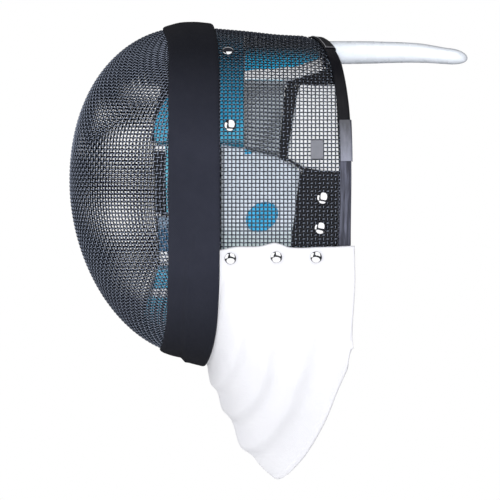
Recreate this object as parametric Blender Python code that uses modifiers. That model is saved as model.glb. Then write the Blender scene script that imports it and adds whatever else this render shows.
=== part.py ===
"""A fencing mask at its real size, in metres, built from separate pieces.

The mask faces -Y, +Z is up and X runs across the head. The origin is the point under the crown
where the top of the head sits. Most pieces lie on one outer form: the outline of the seam between
the face mesh and the side mesh, closed to a dome in front and carried straight back behind. A place
on that form is a girth (0 at the crown, 1 at the chin, positive on the wearer's left), a depth y,
and a lift outside the form.
"""

import math

import bmesh
import bpy
import numpy as np
from mathutils import Vector

# ---------------------------------------------------------------- the outer form
CROWN_RADIUS = 0.087  # the seam's outline is half a circle over the crown
CROWN_CENTRE_Z = -0.0714
JAW_HALF_WIDTH = 0.0905
JAW_Z = -0.132
CHIN_Z = -0.2475
CHIN_FULLNESS = 2.2  # exponent of the superellipse that closes the chin
SEAM_Y = -0.054
DOME_DEPTH = 0.0984
DOME_POLE_Z = -0.109
DOME_FULLNESS_CROWN = 2.15  # exponents of the dome's lengthwise superellipse
DOME_FULLNESS_CHIN = 1.90

# How far the crown line has fallen at each depth behind the seam.
CROWN_FALL = (
    # y, fall
    (-0.054, 0.0000),
    (-0.034, 0.0016),
    (-0.011, 0.0036),
    (0.014, 0.0064),
    (0.030, 0.0076),
    (0.046, 0.0098),
    (0.056, 0.0110),
    (0.080, 0.0110),
)

# ---------------------------------------------------------------- sheets and bands
MESH_WALL = 0.0020  # two crossing wires of 1 mm
GAP = 0.0004  # clearance kept between pieces that touch
RING_STATIONS = 60  # stations round the whole girth, crown to chin and back
DOME_ROWS = 11
SIDE_MESH_GIRTH = 20 / 30  # the side mesh ends under the bib
SIDE_MESH_FRONT = SEAM_Y + GAP
SIDE_MESH_ROWS = (0.0, 0.17, 0.38, 0.60, 0.82, 1.0)  # its rows, as shares from seam to rim

TRIM_EDGES = (
    # girth, front y, rear y
    (0.00, -0.0776, -0.0340),
    (0.30, -0.0730, -0.0318),
    (0.62, -0.0714, -0.0312),
    (0.80, -0.0735, -0.0340),
    (1.00, -0.0800, -0.0440),
)
TRIM_PROUD = 0.0036
TRIM_PROUD_OVER_BIB = 0.0026
TRIM_PROUD_AHEAD = 0.0026  # over the mesh ahead of the bib's tucked edge, at the chin
TRIM_EDGE_PROUD = 0.0018
TRIM_ROUND = 0.0026
TRIM_TUCK_GIRTH = (17 / 30, 18 / 30)  # where the bib's edge starts to lie under the trim
TRIM_AHEAD_GIRTH = (0.60, 0.85)
TRIM_STEP = (0.0040, 0.0008)  # ahead of the bib's edge, where the trim's inner face steps up
TRIM_STEP_OUTSIDE = (0.0028, 0.0016)  # and its outer face this much further ahead
TRIM_EDGE_SET = 0.0005  # the inner face is this much narrower at each edge

RIM_EDGE = (
    # girth, rear y, width
    (0.00, 0.0550, 0.0080),
    (0.12, 0.0583, 0.0082),
    (0.20, 0.0638, 0.0088),
    (0.34, 0.0694, 0.0092),
    (0.44, 0.0716, 0.0094),
    (0.60, 0.0706, 0.0094),
    (1.00, 0.0706, 0.0094),
)
RIM_WALL = 0.0008
COVER_WALL = 0.0005
COVER_GAP = 0.0003
COVER_SET_BACK = 0.0006  # the covers' front edge behind the rim's
CROWN_COVER_GIRTH = (-4 / 30, 4 / 30)
SLEEVE_GIRTH = (0.351, 0.440)

# ---------------------------------------------------------------- bib
BIB_WALL = 0.0030
BIB_ACROSS = (*(i / 22 for i in range(12)), 0.56, 0.63, 0.70, 0.775, 0.85, 0.92, 0.96, 1.0)
BIB_COLLAR_ROWS = 2
BIB_HANG_ROWS = 16
BIB_SLOPE = 0.25  # the collar leaves the chin at this slope
BIB_SLOPE_REACH = 0.0145
BIB_SLOPE_GIRTH = (0.62, 0.82)
BIB_OVER_RIM = 0.0014  # extra lift over the rim, gained between two depths
BIB_OVER_RIM_Y = (0.052, 0.058)
# Across is 0 at the middle of the chin and 1 at the rear corner.
BIB_TOP = (
    # across, girth, y
    (0.00, 1.000, -0.0570),
    (0.42, 0.668, -0.0530),
    (0.50, 0.620, -0.0470),
    (0.56, 0.612, -0.0380),
    (1.00, 0.612, 0.0720),
)
BIB_COLLAR = (
    # across, girth, y
    (0.00, 1.000, -0.0430),
    (0.42, 0.718, -0.0310),
    (0.50, 0.678, -0.0270),
    (0.56, 0.662, -0.0180),
    (1.00, 0.662, 0.0718),
)
BIB_FREE_EDGE = (
    # across, x, y, z
    (0.00, 0.000, 0.0136, -0.3472),
    (0.13, 0.0145, 0.0235, -0.3395),
    (0.28, 0.0295, 0.0365, -0.3250),
    (0.51, 0.0500, 0.0510, -0.2990),
    (0.71, 0.0660, 0.0612, -0.2730),
    (0.90, 0.0785, 0.0690, -0.2470),
    (1.00, 0.0830, 0.0722, -0.2330),
)
BIB_CHIN = (0.30, 0.55)  # across, where the hanging part turns from the chin's lie to the side's
BIB_LEAVING_CHIN = (0.0, 0.40, -0.86)
BIB_LEAVING_SIDE = (0.0, 0.0, -1.0)
BIB_CURL = (0.0, 0.58, -0.40)  # the tip's lie
BIB_CURL_ACROSS = 0.35
BIB_FOLDS = (
    # place down the bib, depth
    (0.11, 0.0024),
    (0.345, 0.0028),
    (0.625, 0.0026),
)
FOLD_ABOVE = 0.11  # a fold swells over this share of the bib's height
FOLD_BELOW = 0.035  # and drops away over this share
FOLD_FADE = (0.35, 0.85)  # across, where the folds run out
FOLD_START = 0.06  # share of the height below the collar before they begin
BIB_INSIDE = (0.0, 0.05, -0.20)  # a point inside the bib

# ---------------------------------------------------------------- tongue
SPRING_WIDTH = 0.018
SPRING_WALL = 0.0010
SPRING_PATH = (
    # y, z of the strip's top
    (-0.0090, 0.0081),
    (0.0140, 0.0055),
    (0.0300, 0.0043),
    (0.0400, 0.0030),
    (0.0470, 0.0019),
    (0.0550, 0.0009),
    (0.0585, 0.0004),
    (0.0660, -0.0010),
    (0.0850, -0.0034),
    (0.1200, -0.0052),
    (0.1480, -0.0078),
)
SLEEVE_WALL = 0.0016
TONGUE_FULLNESS = 2.5  # exponent of the sleeve's oval
TONGUE_SECTIONS = (
    # y, z of the middle, half height, half width
    (0.0585, -0.0054, 0.0092, 0.0150),
    (0.0900, -0.0052, 0.0088, 0.0148),
    (0.1264, -0.0056, 0.0077, 0.0142),
    (0.1490, -0.0080, 0.0064, 0.0126),
    (0.1580, -0.0088, 0.0058, 0.0104),
    (0.1630, -0.0094, 0.0044, 0.0074),
    (0.1660, -0.0098, 0.0000, 0.0000),
)

# ---------------------------------------------------------------- lining
LINING_LIFT = -(MESH_WALL + 0.0005)  # the outer face of what lies on the mesh's inside
# Each piece is a run of sections from front to rear, between an upper and a lower edge. Heights are
# those of the seam's outline.
LINING = {
    "crown_tape": {
        "lift": LINING_LIFT, "wall": 0.0014, "finish": "white",
        "sections": (
            # upper y, upper z, lower y, lower z
            (-0.0120, -0.0198, -0.0120, -0.0274),
            (0.0150, -0.0164, 0.0170, -0.0267),
            (0.0310, -0.0136, 0.0310, -0.0241),
            (0.0470, -0.0035, 0.0480, -0.0162),
        ),
    },
    "temple_pad": {
        "lift": LINING_LIFT, "wall": 0.0080, "finish": "black",
        "sections": (
            (-0.0836, -0.0830, -0.0816, -0.1360),
            (-0.0330, -0.0830, -0.0330, -0.1360),
        ),
    },
    "jaw_pad": {
        "lift": LINING_LIFT, "wall": 0.0080, "finish": "grey",
        "sections": (
            (-0.0815, -0.1375, -0.0800, -0.1770),
            (-0.0330, -0.1375, -0.0330, -0.1770),
        ),
    },
    "spacer_panel": {
        "lift": LINING_LIFT, "wall": 0.0050, "finish": "grey",
        "sections": (
            (-0.0120, -0.0290, -0.0120, -0.0835),
            (0.0195, -0.0290, 0.0148, -0.0885),
        ),
    },
    "cheek_pad": {
        "lift": -0.0052, "wall": 0.0120, "finish": "white",
        "sections": (
            (-0.0305, -0.0815, -0.0305, -0.1740),
            (-0.0119, -0.0842, -0.0119, -0.1740),
            (0.0155, -0.0905, 0.0120, -0.1740),
            (0.0310, -0.1010, 0.0270, -0.1740),
        ),
    },
    "strap_upper": {
        "lift": LINING_LIFT, "wall": 0.0018, "finish": "black",
        "sections": (
            (0.0200, -0.0290, 0.0209, -0.0335),
            (0.0309, -0.0252, 0.0309, -0.0306),
            (0.0480, -0.0178, 0.0480, -0.0299),
            (0.0543, -0.0130, 0.0556, -0.0293),
        ),
    },
    "strap_side": {
        "lift": LINING_LIFT, "wall": 0.0018, "finish": "black",
        "sections": (
            (0.0203, -0.0342, 0.0153, -0.0901),
            (0.0296, -0.0316, 0.0208, -0.0901),
        ),
    },
    "ear_cloth": {
        "lift": LINING_LIFT, "wall": 0.0010, "finish": "white",
        "sections": (
            (0.0304, -0.0314, 0.0218, -0.0911),
            (0.0400, -0.0311, 0.0341, -0.0979),
            (0.0490, -0.0307, 0.0464, -0.1004),
            (0.0566, -0.0302, 0.0590, -0.1022),
        ),
    },
    "patch_tail": {
        "lift": LINING_LIFT, "wall": 0.0018, "finish": "black",
        "sections": (
            (0.0203, -0.0908, 0.0195, -0.0921),
            (0.0339, -0.0986, 0.0311, -0.1042),
        ),
    },
    "anchor_patch": {
        "lift": LINING_LIFT, "wall": 0.0020, "finish": "black",
        "sections": (
            (0.0301, -0.1073, 0.0231, -0.1578),
            (0.0345, -0.0990, 0.0330, -0.1578),
            (0.0464, -0.1010, 0.0464, -0.1578),
            (0.0604, -0.1028, 0.0600, -0.1578),
        ),
    },
}
LINING_ROWS = 6
CROWN_PAD = {"front": -0.0110, "rear": 0.0470, "lift": -0.0051, "wall": 0.0044}
CROWN_PAD_EDGE = (
    # y, girth of the pad's lower edge
    (-0.0110, 0.216),
    (0.0000, 0.212),
    (0.0154, 0.203),
    (0.0310, 0.189),
    (0.0400, 0.172),
    (0.0470, 0.146),
)
FOREHEAD_PAD = {
    "girth_from": -0.385, "girth_to": 0.385, "stations": 25,
    "rear": -0.0125, "lift": LINING_LIFT, "wall": 0.0080,
}
CHIN_PAD = {
    "girth_from": 0.685, "girth_to": 1.315, "stations": 21,
    "rear": -0.0580, "lift": -0.0036, "wall": 0.0110,
}
FACE_PAD_FRONT = (
    # girth, y of the front edge of the ring of pads round the face
    (0.00, -0.0740),
    (0.26, -0.0760),
    (0.37, -0.0830),
    (0.66, -0.0800),
    (0.80, -0.0910),
    (1.00, -0.1010),
)
DISC = {"y": 0.0013, "z": -0.1376, "half_width": 0.0124, "half_height": 0.0109}
DISC_WALL = 0.0014
DISC_LIFT = -0.0031
TAG = {"y": 0.0440, "z": -0.0852, "half_width": 0.0050, "half_height": 0.0074, "wall": 0.0008}

# ---------------------------------------------------------------- rivets
RIVET_HEAD_RADIUS = 0.0047
RIVET_HEAD_HEIGHT = 0.0021
RIVET_SHANK_RADIUS = 0.0016
RIVET_BORE_RADIUS = 0.0021
RIVET_BORE_LENGTH = 0.016
RIVET_SIDES = 12
# The layers that a rivet goes through beside the mesh have a thickness outside and one inside.
RIVETS = (
    # name, y, height on the seam's outline, layers outside, layers inside
    ("crown", -0.0253, -0.0063, 0.0, 0.0),
    ("temple", -0.0235, -0.0663, 0.0, 0.0),
    ("patch_upper", 0.0486, -0.1229, 0.0, 0.0025),
    ("patch_lower", 0.0467, -0.1462, 0.0, 0.0025),
    ("bib_front", -0.0227, -0.1690, 0.0034, 0.0),
    ("bib_middle", 0.0129, -0.1680, 0.0034, 0.0),
    ("bib_rear", 0.0437, -0.1680, 0.0037, 0.0),
)

SIDES = (("left", 1.0), ("right", -1.0))
MERGE = 1e-5
FINISHES = {
    # name: colour, roughness, metallic
    "wire": ((0.030, 0.030, 0.035), 0.40, 0.0),
    "tape": ((0.035, 0.036, 0.052), 0.80, 0.0),
    "binding": ((0.012, 0.012, 0.014), 0.35, 0.0),
    "bib": ((0.86, 0.86, 0.90), 0.75, 0.0),
    "spring": ((0.60, 0.60, 0.62), 0.30, 1.0),
    "sleeve": ((0.84, 0.86, 0.88), 0.25, 0.0),
    "teal": ((0.030, 0.110, 0.160), 0.80, 0.0),
    "blue": ((0.060, 0.280, 0.430), 0.75, 0.0),
    "white": ((0.82, 0.83, 0.85), 0.80, 0.0),
    "black": ((0.012, 0.012, 0.014), 0.70, 0.0),
    "grey": ((0.160, 0.170, 0.190), 0.80, 0.0),
    "chrome": ((0.80, 0.80, 0.82), 0.08, 1.0),
}


# ---------------------------------------------------------------- scene
def clear_scene():
    for obj in list(bpy.data.objects):
        bpy.data.objects.remove(obj, do_unlink=True)


def new_collection(name):
    collection = bpy.data.collections.new(name)
    bpy.context.scene.collection.children.link(collection)
    return collection


def material_of(finish):
    """The Principled material of a finish, made once."""
    if finish in bpy.data.materials:
        return bpy.data.materials[finish]
    colour, roughness, metallic = FINISHES[finish]
    material = bpy.data.materials.new(finish)
    material.use_nodes = True
    shader = material.node_tree.nodes["Principled BSDF"]
    shader.inputs["Base Color"].default_value = (*colour, 1.0)
    shader.inputs["Roughness"].default_value = roughness
    shader.inputs["Metallic"].default_value = metallic
    material.diffuse_color = (*colour, 1.0)
    return material


# ---------------------------------------------------------------- the outer form
def table(rows, at, column=1):
    """The value in a table's column at a place in its first column, read along straight lines."""
    rows = np.array(rows)
    return np.interp(at, rows[:, 0], rows[:, column])


def smooth_table(rows, at, column=1):
    """The same value read along a smooth curve through the rows, level at both ends."""
    rows = np.array(rows)
    place, value = rows[:, 0], rows[:, column]
    slope = np.zeros_like(value)
    slope[1:-1] = (value[2:] - value[:-2]) / (place[2:] - place[:-2])
    at = np.clip(at, place[0], place[-1])
    low = np.clip(np.searchsorted(place, at, side="right") - 1, 0, len(place) - 2)
    width = place[low + 1] - place[low]
    t = (at - place[low]) / width
    return (
        (2 * t**3 - 3 * t**2 + 1) * value[low]
        + (t**3 - 2 * t**2 + t) * width * slope[low]
        + (3 * t**2 - 2 * t**3) * value[low + 1]
        + (t**3 - t**2) * width * slope[low + 1]
    )


def smooth_step(t):
    t = np.clip(t, 0.0, 1.0)
    return t * t * (3.0 - 2.0 * t)


def ramp(value, between):
    """Rises smoothly from 0 to 1 as a value passes from the first to the second of two places."""
    low, high = between
    return smooth_step((value - low) / (high - low))


def half_outline(samples=400):
    """The seam's outline from crown to chin: a quarter circle, an easing flank and a superellipse.

    Gives the share of the girth, x, z and the outward normal at each sample.
    """
    turn = np.linspace(0.0, math.pi / 2, samples)
    crown_x = CROWN_RADIUS * np.sin(turn)
    crown_z = CROWN_CENTRE_Z + CROWN_RADIUS * np.cos(turn)
    along = np.linspace(0.0, 1.0, samples)[1:-1]
    flank_x = CROWN_RADIUS + (JAW_HALF_WIDTH - CROWN_RADIUS) * smooth_step(along)
    flank_z = CROWN_CENTRE_Z + (JAW_Z - CROWN_CENTRE_Z) * along
    power = 2.0 / CHIN_FULLNESS
    chin_x = JAW_HALF_WIDTH * np.cos(turn) ** power
    chin_z = JAW_Z + (CHIN_Z - JAW_Z) * np.sin(turn) ** power
    chin_x[-1] = 0.0
    x = np.concatenate([crown_x, flank_x, chin_x])
    z = np.concatenate([crown_z, flank_z, chin_z])
    length = np.concatenate([[0.0], np.cumsum(np.hypot(np.diff(x), np.diff(z)))])
    slope_x = np.gradient(x, length)
    slope_z = np.gradient(z, length)
    size = np.hypot(slope_x, slope_z)
    return length / length[-1], x, z, -slope_z / size, slope_x / size


OUTLINE = half_outline()


def girth_at(z):
    """The girth at a height on the seam's outline."""
    girth, _, heights, _, _ = OUTLINE
    return np.interp(-z, -heights, girth)


def on_outline(girth):
    """Point and outward normal on the seam's outline; past 1 the girth comes up the other side."""
    girth = np.mod(np.asarray(girth, float) + 1.0, 2.0) - 1.0
    side = np.where(girth < 0.0, -1.0, 1.0)
    shares, x, z, normal_x, normal_z = OUTLINE
    at = np.abs(girth)
    return (
        side * np.interp(at, shares, x),
        np.interp(at, shares, z),
        side * np.interp(at, shares, normal_x),
        np.interp(at, shares, normal_z),
    )


def dome_fullness(girth):
    """The dome's exponent, fuller at the crown than at the chin."""
    middle = (DOME_FULLNESS_CROWN + DOME_FULLNESS_CHIN) / 2
    swing = (DOME_FULLNESS_CROWN - DOME_FULLNESS_CHIN) / 2
    return middle + swing * np.cos(math.pi * np.asarray(girth, float))


def form(girth, y, lift=0.0):
    """A point on the outer form: the outline drawn in ahead of the seam, the crown lowered behind."""
    girth, y = np.broadcast_arrays(np.asarray(girth, float), np.asarray(y, float))
    x, z, normal_x, normal_z = on_outline(girth)
    ahead = np.clip((SEAM_Y - y) / DOME_DEPTH, 0.0, 1.0)
    fullness = dome_fullness(girth)
    drawn_in = (1.0 - ahead**fullness) ** (1.0 / fullness)
    from_crown = np.abs(np.mod(girth + 1.0, 2.0) - 1.0) / girth_at(CROWN_CENTRE_Z)
    share = np.cos(np.clip(from_crown, 0.0, 1.0) * math.pi / 2) ** 2
    z = DOME_POLE_Z + (z - DOME_POLE_Z) * drawn_in - smooth_table(CROWN_FALL, y) * share
    return np.stack([x * drawn_in + normal_x * lift, y, z + normal_z * lift], axis=-1)


def dome(girth, along):
    """A point on the dome, from the seam (along 0) to the pole (along 1), evenly spaced."""
    x, z, _, _ = on_outline(girth)
    power = 2.0 / dome_fullness(girth)
    drawn_in = np.cos(along * math.pi / 2) ** power
    ahead = np.sin(along * math.pi / 2) ** power
    drawn_in = np.where(along >= 1.0, 0.0, drawn_in)
    y = SEAM_Y - DOME_DEPTH * ahead
    return np.stack([x * drawn_in, y, DOME_POLE_Z + (z - DOME_POLE_Z) * drawn_in], axis=-1)


def stations(start=-1.0, end=1.0):
    """The ring's stations between two girths, shared by every nested piece."""
    step = 2.0 / RING_STATIONS
    return step * np.arange(round(start / step), round(end / step) + 1)


# ---------------------------------------------------------------- mesh tools
def add_object(name, bm, finish, collection):
    mesh = bpy.data.meshes.new(name)
    bm.to_mesh(mesh)
    bm.free()
    mesh.shade_smooth()
    mesh.set_sharp_from_angle(angle=math.radians(40))
    obj = bpy.data.objects.new(name, mesh)
    if finish:
        mesh.materials.append(material_of(finish))
    collection.objects.link(obj)
    return obj


def grid(points):
    """A quad grid over an array of points (rows, columns, 3); points that coincide become one."""
    rows, columns = points.shape[:2]
    bm = bmesh.new()
    bmesh.ops.create_grid(bm, x_segments=columns - 1, y_segments=rows - 1, size=0.5)
    for vertex in bm.verts:
        row = round((vertex.co.y + 0.5) * (rows - 1))
        column = round((vertex.co.x + 0.5) * (columns - 1))
        vertex.co = points[row, column]
    bmesh.ops.remove_doubles(bm, verts=bm.verts, dist=MERGE)
    return bm


def face_away_from(bm, inside):
    """Turns an open sheet so that its faces look away from a point inside it."""
    bm.normal_update()
    inside = Vector(inside)
    outward = sum(
        face.calc_area() * face.normal.dot(face.calc_center_median() - inside)
        for face in bm.faces
    )
    if outward < 0.0:
        bmesh.ops.reverse_faces(bm, faces=bm.faces)


def sheet(name, points, wall, finish, collection, inside=(0.0, 0.0, -0.109)):
    """A wall whose outer face is the grid of points."""
    bm = grid(points)
    face_away_from(bm, inside)
    obj = add_object(name, bm, finish, collection)
    solidify = obj.modifiers.new("Wall", "SOLIDIFY")
    solidify.thickness = wall
    solidify.offset = -1.0
    return obj


def profile_solid(name, points, finish, collection):
    """A closed profile carried along a path: rows are the path, columns go round the profile."""
    bm = grid(np.concatenate([points, points[:, :1]], axis=1))
    ends = [edge for edge in bm.edges if edge.is_boundary]
    if ends:
        bmesh.ops.holes_fill(bm, edges=ends)
    bmesh.ops.recalc_face_normals(bm, faces=bm.faces)
    return add_object(name, bm, finish, collection)


def cut(obj, cutter):
    boolean = obj.modifiers.new("Bores", "BOOLEAN")
    boolean.object = cutter
    boolean.operation = "DIFFERENCE"
    boolean.solver = "EXACT"


# ---------------------------------------------------------------- wire meshes and bands
def make_front_mesh(parts):
    girth = stations()[:, None]
    along = np.linspace(0.0, 1.0, DOME_ROWS + 1)[None, :]
    girth, along = np.broadcast_arrays(girth, along)
    return sheet("front_mesh", dome(girth, along), MESH_WALL, "wire", parts)


def make_side_mesh(parts):
    girth = stations(-SIDE_MESH_GIRTH, SIDE_MESH_GIRTH)
    rear = smooth_table(RIM_EDGE, np.abs(girth)) - RIM_WALL - GAP
    y = SIDE_MESH_FRONT + (rear[:, None] - SIDE_MESH_FRONT) * np.array(SIDE_MESH_ROWS)
    return sheet("side_mesh", form(girth[:, None], y), MESH_WALL, "wire", parts)


def bib_lift(girth, y):
    """Lift of the bib's outer face where it lies on the mask."""
    girth, y = np.broadcast_arrays(np.abs(girth), y)
    top = bib_front_at(girth)
    slope = BIB_SLOPE * ramp(girth, BIB_SLOPE_GIRTH)
    over_rim = BIB_OVER_RIM * ramp(y, BIB_OVER_RIM_Y)
    return GAP + BIB_WALL + slope * np.clip(y - top, 0.0, BIB_SLOPE_REACH) + over_rim


def bib_front_at(girth):
    """The depth of the bib's tucked front edge at a girth below the jaw."""
    rows = np.array(BIB_TOP)[2::-1]
    return smooth_table(rows[:, 1:], np.abs(girth))


def make_trim_band(parts):
    girth = stations()
    at = np.abs(girth)
    front = smooth_table(TRIM_EDGES, at, 1)
    rear = smooth_table(TRIM_EDGES, at, 2)
    tuck = ramp(at, TRIM_TUCK_GIRTH)
    step_low, step_high = (bib_front_at(at) - before for before in TRIM_STEP)
    outside_low, outside_high = step_low - TRIM_STEP_OUTSIDE[0], step_high - TRIM_STEP_OUTSIDE[1]

    def inner(y):
        return GAP + np.where(y > step_low + 1e-6, tuck * bib_lift(at, y), 0.0)

    proud = TRIM_PROUD + (TRIM_PROUD_OVER_BIB - TRIM_PROUD) * tuck
    ahead = TRIM_PROUD + (TRIM_PROUD_AHEAD - TRIM_PROUD) * ramp(at, TRIM_AHEAD_GIRTH)
    middle_front = (front + step_low) / 2
    middle_rear = (step_high + rear) / 2
    profile = [
        (front + TRIM_EDGE_SET, inner(front)),
        (middle_front, inner(middle_front)),
        (step_low, inner(step_low)),
        (step_high, inner(step_high)),
        (middle_rear, inner(middle_rear)),
        (rear - TRIM_EDGE_SET, inner(rear)),
        (rear, inner(rear) + TRIM_EDGE_PROUD - GAP),
        (rear - TRIM_ROUND, inner(rear - TRIM_ROUND) + proud - GAP),
        (middle_rear, inner(middle_rear) + proud - GAP),
        (outside_high, inner(step_high) + proud - GAP),
        (outside_low, inner(step_low) + ahead - GAP),
        ((front + outside_low) / 2, inner(middle_front) + ahead - GAP),
        (front + TRIM_ROUND, inner(front) + ahead - GAP),
        (front, inner(front) + TRIM_EDGE_PROUD - GAP),
    ]
    points = np.stack([form(girth, y, lift) for y, lift in profile], axis=1)
    return profile_solid("trim_band", points, "tape", parts)


def make_rear_rim(parts):
    """A channel that takes the side mesh's rear edge between its two legs."""
    girth = stations(-SIDE_MESH_GIRTH, SIDE_MESH_GIRTH)
    at = np.abs(girth)
    rear = smooth_table(RIM_EDGE, at, 1)
    front = rear - smooth_table(RIM_EDGE, at, 2)
    slot = rear - RIM_WALL
    outside = GAP + RIM_WALL
    inside = -MESH_WALL - GAP - RIM_WALL
    profile = [
        (front, GAP),
        (front, outside),
        (rear, outside),
        (rear, inside),
        (front, inside),
        (front, -MESH_WALL - GAP),
        (slot, -MESH_WALL - GAP),
        (slot, GAP),
    ]
    points = np.stack([form(girth, y, lift) for y, lift in profile], axis=1)
    return profile_solid("rear_rim", points, "binding", parts)


def make_rim_cover(name, girths, parts):
    """A second layer over the rim's outside and rear."""
    ring = stations()
    girth = np.union1d(girths, ring[(ring > min(girths)) & (ring < max(girths))])
    at = np.abs(girth)
    rear = smooth_table(RIM_EDGE, at, 1)
    front = rear - smooth_table(RIM_EDGE, at, 2)
    below = GAP + RIM_WALL + COVER_GAP
    above = below + COVER_WALL
    hem = -MESH_WALL - GAP - RIM_WALL
    profile = [
        (front + COVER_SET_BACK, below),
        (front + COVER_SET_BACK, above),
        (rear + GAP + COVER_WALL, above),
        (rear + GAP + COVER_WALL, hem),
        (rear + GAP, hem),
        (rear + GAP, below),
    ]
    points = np.stack([form(girth, y, lift) for y, lift in profile], axis=1)
    return profile_solid(name, points, "binding", parts)


# ---------------------------------------------------------------- bib
def bib_surface():
    """The bib's outer face: a collar that lies on the mask, then a hanging part down to the hem.

    The hanging part is a cubic from the collar to the free edge, which starts down the mask's
    side, or down and back at the chin, and ends curling to the rear at the tip.
    """
    across = np.array([-at for at in BIB_ACROSS[:0:-1]] + list(BIB_ACROSS))
    side = np.where(across < 0.0, -1.0, 1.0)
    at = np.abs(across)
    top_girth, top_y = table(BIB_TOP, at, 1), table(BIB_TOP, at, 2)
    low_girth, low_y = table(BIB_COLLAR, at, 1), table(BIB_COLLAR, at, 2)
    rows = []
    for share in np.linspace(0.0, 1.0, BIB_COLLAR_ROWS + 1):
        girth = top_girth + (low_girth - top_girth) * share
        y = top_y + (low_y - top_y) * share
        rows.append(form(side * girth, y, bib_lift(girth, y)))
    start = rows[-1]
    edge_x = table(BIB_FREE_EDGE, at, 1)
    edge_y, edge_z = (smooth_table(BIB_FREE_EDGE, at, column) for column in (2, 3))
    end = np.stack([side * edge_x, edge_y, edge_z], axis=-1)
    reach = np.linalg.norm(end - start, axis=-1, keepdims=True)
    at_side = ramp(at, BIB_CHIN)[:, None]
    leaving = np.array(BIB_LEAVING_CHIN) * (1.0 - at_side) + np.array(BIB_LEAVING_SIDE) * at_side
    curl = (1.0 - smooth_step(at / BIB_CURL_ACROSS))[:, None]
    arriving = (end - start) / reach * (1.0 - curl) + np.array(BIB_CURL) * curl
    for t in np.linspace(0.0, 1.0, BIB_HANG_ROWS + 1)[1:]:
        rows.append(
            (2 * t**3 - 3 * t**2 + 1) * start
            + (t**3 - 2 * t**2 + t) * reach * leaving
            + (3 * t**2 - 2 * t**3) * end
            + (t**3 - t**2) * reach * arriving
        )
    return np.stack(rows, axis=0), across


def bib_folds(points, across):
    """Pushes the hanging part out in folds that swell downwards and drop away sharply."""
    rows = np.arange(len(points))
    down = np.clip((rows - BIB_COLLAR_ROWS) / BIB_HANG_ROWS, 0.0, 1.0)[:, None]
    across = np.abs(across)[None, :]
    fade = 1.0 - ramp(across, FOLD_FADE)
    swell = 0.0
    for place, depth in BIB_FOLDS:
        offset = down - place
        width = np.where(offset < 0.0, FOLD_ABOVE, FOLD_BELOW)
        swell = swell + depth * fade * np.exp(-((offset / width) ** 2))
    swell = swell * smooth_step(down / FOLD_START)
    normal = np.cross(np.gradient(points, axis=1), np.gradient(points, axis=0))
    normal /= np.linalg.norm(normal, axis=-1, keepdims=True)
    outward = np.sign(np.sum(normal * (points - np.array(BIB_INSIDE))))
    return points + outward * normal * swell[..., None]


def make_bib(parts):
    points = bib_folds(*bib_surface())
    return sheet("bib", points, BIB_WALL, "bib", parts, BIB_INSIDE)


# ---------------------------------------------------------------- tongue
def make_tongue_spring(parts):
    """A strip arched across like the crown that it leaves."""
    y, z = np.array(SPRING_PATH).T
    across = np.linspace(-SPRING_WIDTH / 2, SPRING_WIDTH / 2, 5)
    x, depth = np.broadcast_arrays(across[:, None], y[None, :])
    height = z[None, :] - x**2 / (2 * CROWN_RADIUS)
    points = np.stack([x, depth, height], axis=-1)
    return sheet("tongue_spring", points, SPRING_WALL, "spring", parts, (0.0, 0.06, -1.0))


def make_tongue_sleeve(parts):
    """An oval sleeve, open towards the crown and closed at its tip."""
    turn = np.linspace(0.0, 2 * math.pi, 17)
    power = 2.0 / TONGUE_FULLNESS
    across = np.sign(np.cos(turn)) * np.abs(np.cos(turn)) ** power
    up = np.sign(np.sin(turn)) * np.abs(np.sin(turn)) ** power
    rings = [
        np.stack([wide * across, y + 0.0 * turn, middle + high * up], axis=-1)
        for y, middle, high, wide in TONGUE_SECTIONS
    ]
    points = np.stack(rings, axis=0)
    return sheet("tongue_sleeve", points, SLEEVE_WALL, "sleeve", parts, (0.0, 0.10, -0.005))


# ---------------------------------------------------------------- lining
def lining_sheet(name, girth, y, pad, finish, parts):
    """A pad or strip inside the mesh over a grid of girths and depths."""
    return sheet(name, form(girth, y, pad["lift"]), pad["wall"], finish, parts)


def make_lining(parts):
    """The pieces that come in pairs, each drawn between its sections' upper and lower edges."""
    down = np.linspace(0.0, 1.0, LINING_ROWS)[:, None]
    for name, piece in LINING.items():
        sections = np.array(piece["sections"])
        along = np.linspace(0.0, len(sections) - 1.0, 3 * (len(sections) - 1) + 1)
        upper_y, upper_z, lower_y, lower_z = (
            np.interp(along, np.arange(len(sections)), column) for column in sections.T
        )
        girth = girth_at(upper_z + (lower_z - upper_z) * down)
        y = upper_y + (lower_y - upper_y) * down
        for side, sign in SIDES:
            lining_sheet(f"{name}_{side}", sign * girth, y, piece, piece["finish"], parts)


def make_arched_pads(parts):
    """The pads that cross the middle: under the crown, over the forehead and under the chin."""
    y = np.linspace(CROWN_PAD["front"], CROWN_PAD["rear"], 6)[:, None]
    girth = smooth_table(CROWN_PAD_EDGE, y) * np.linspace(-1.0, 1.0, 13)
    lining_sheet("crown_pad", girth, y, CROWN_PAD, "teal", parts)
    for name, pad in (("forehead_pad", FOREHEAD_PAD), ("chin_pad", CHIN_PAD)):
        girth = np.linspace(pad["girth_from"], pad["girth_to"], pad["stations"])
        from_crown = 1.0 - np.abs(np.abs(girth) - 1.0)
        front = smooth_table(FACE_PAD_FRONT, from_crown)[:, None]
        y = front + (pad["rear"] - front) * np.linspace(0.0, 1.0, 4)
        lining_sheet(name, girth[:, None], y, pad, "blue", parts)


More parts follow.
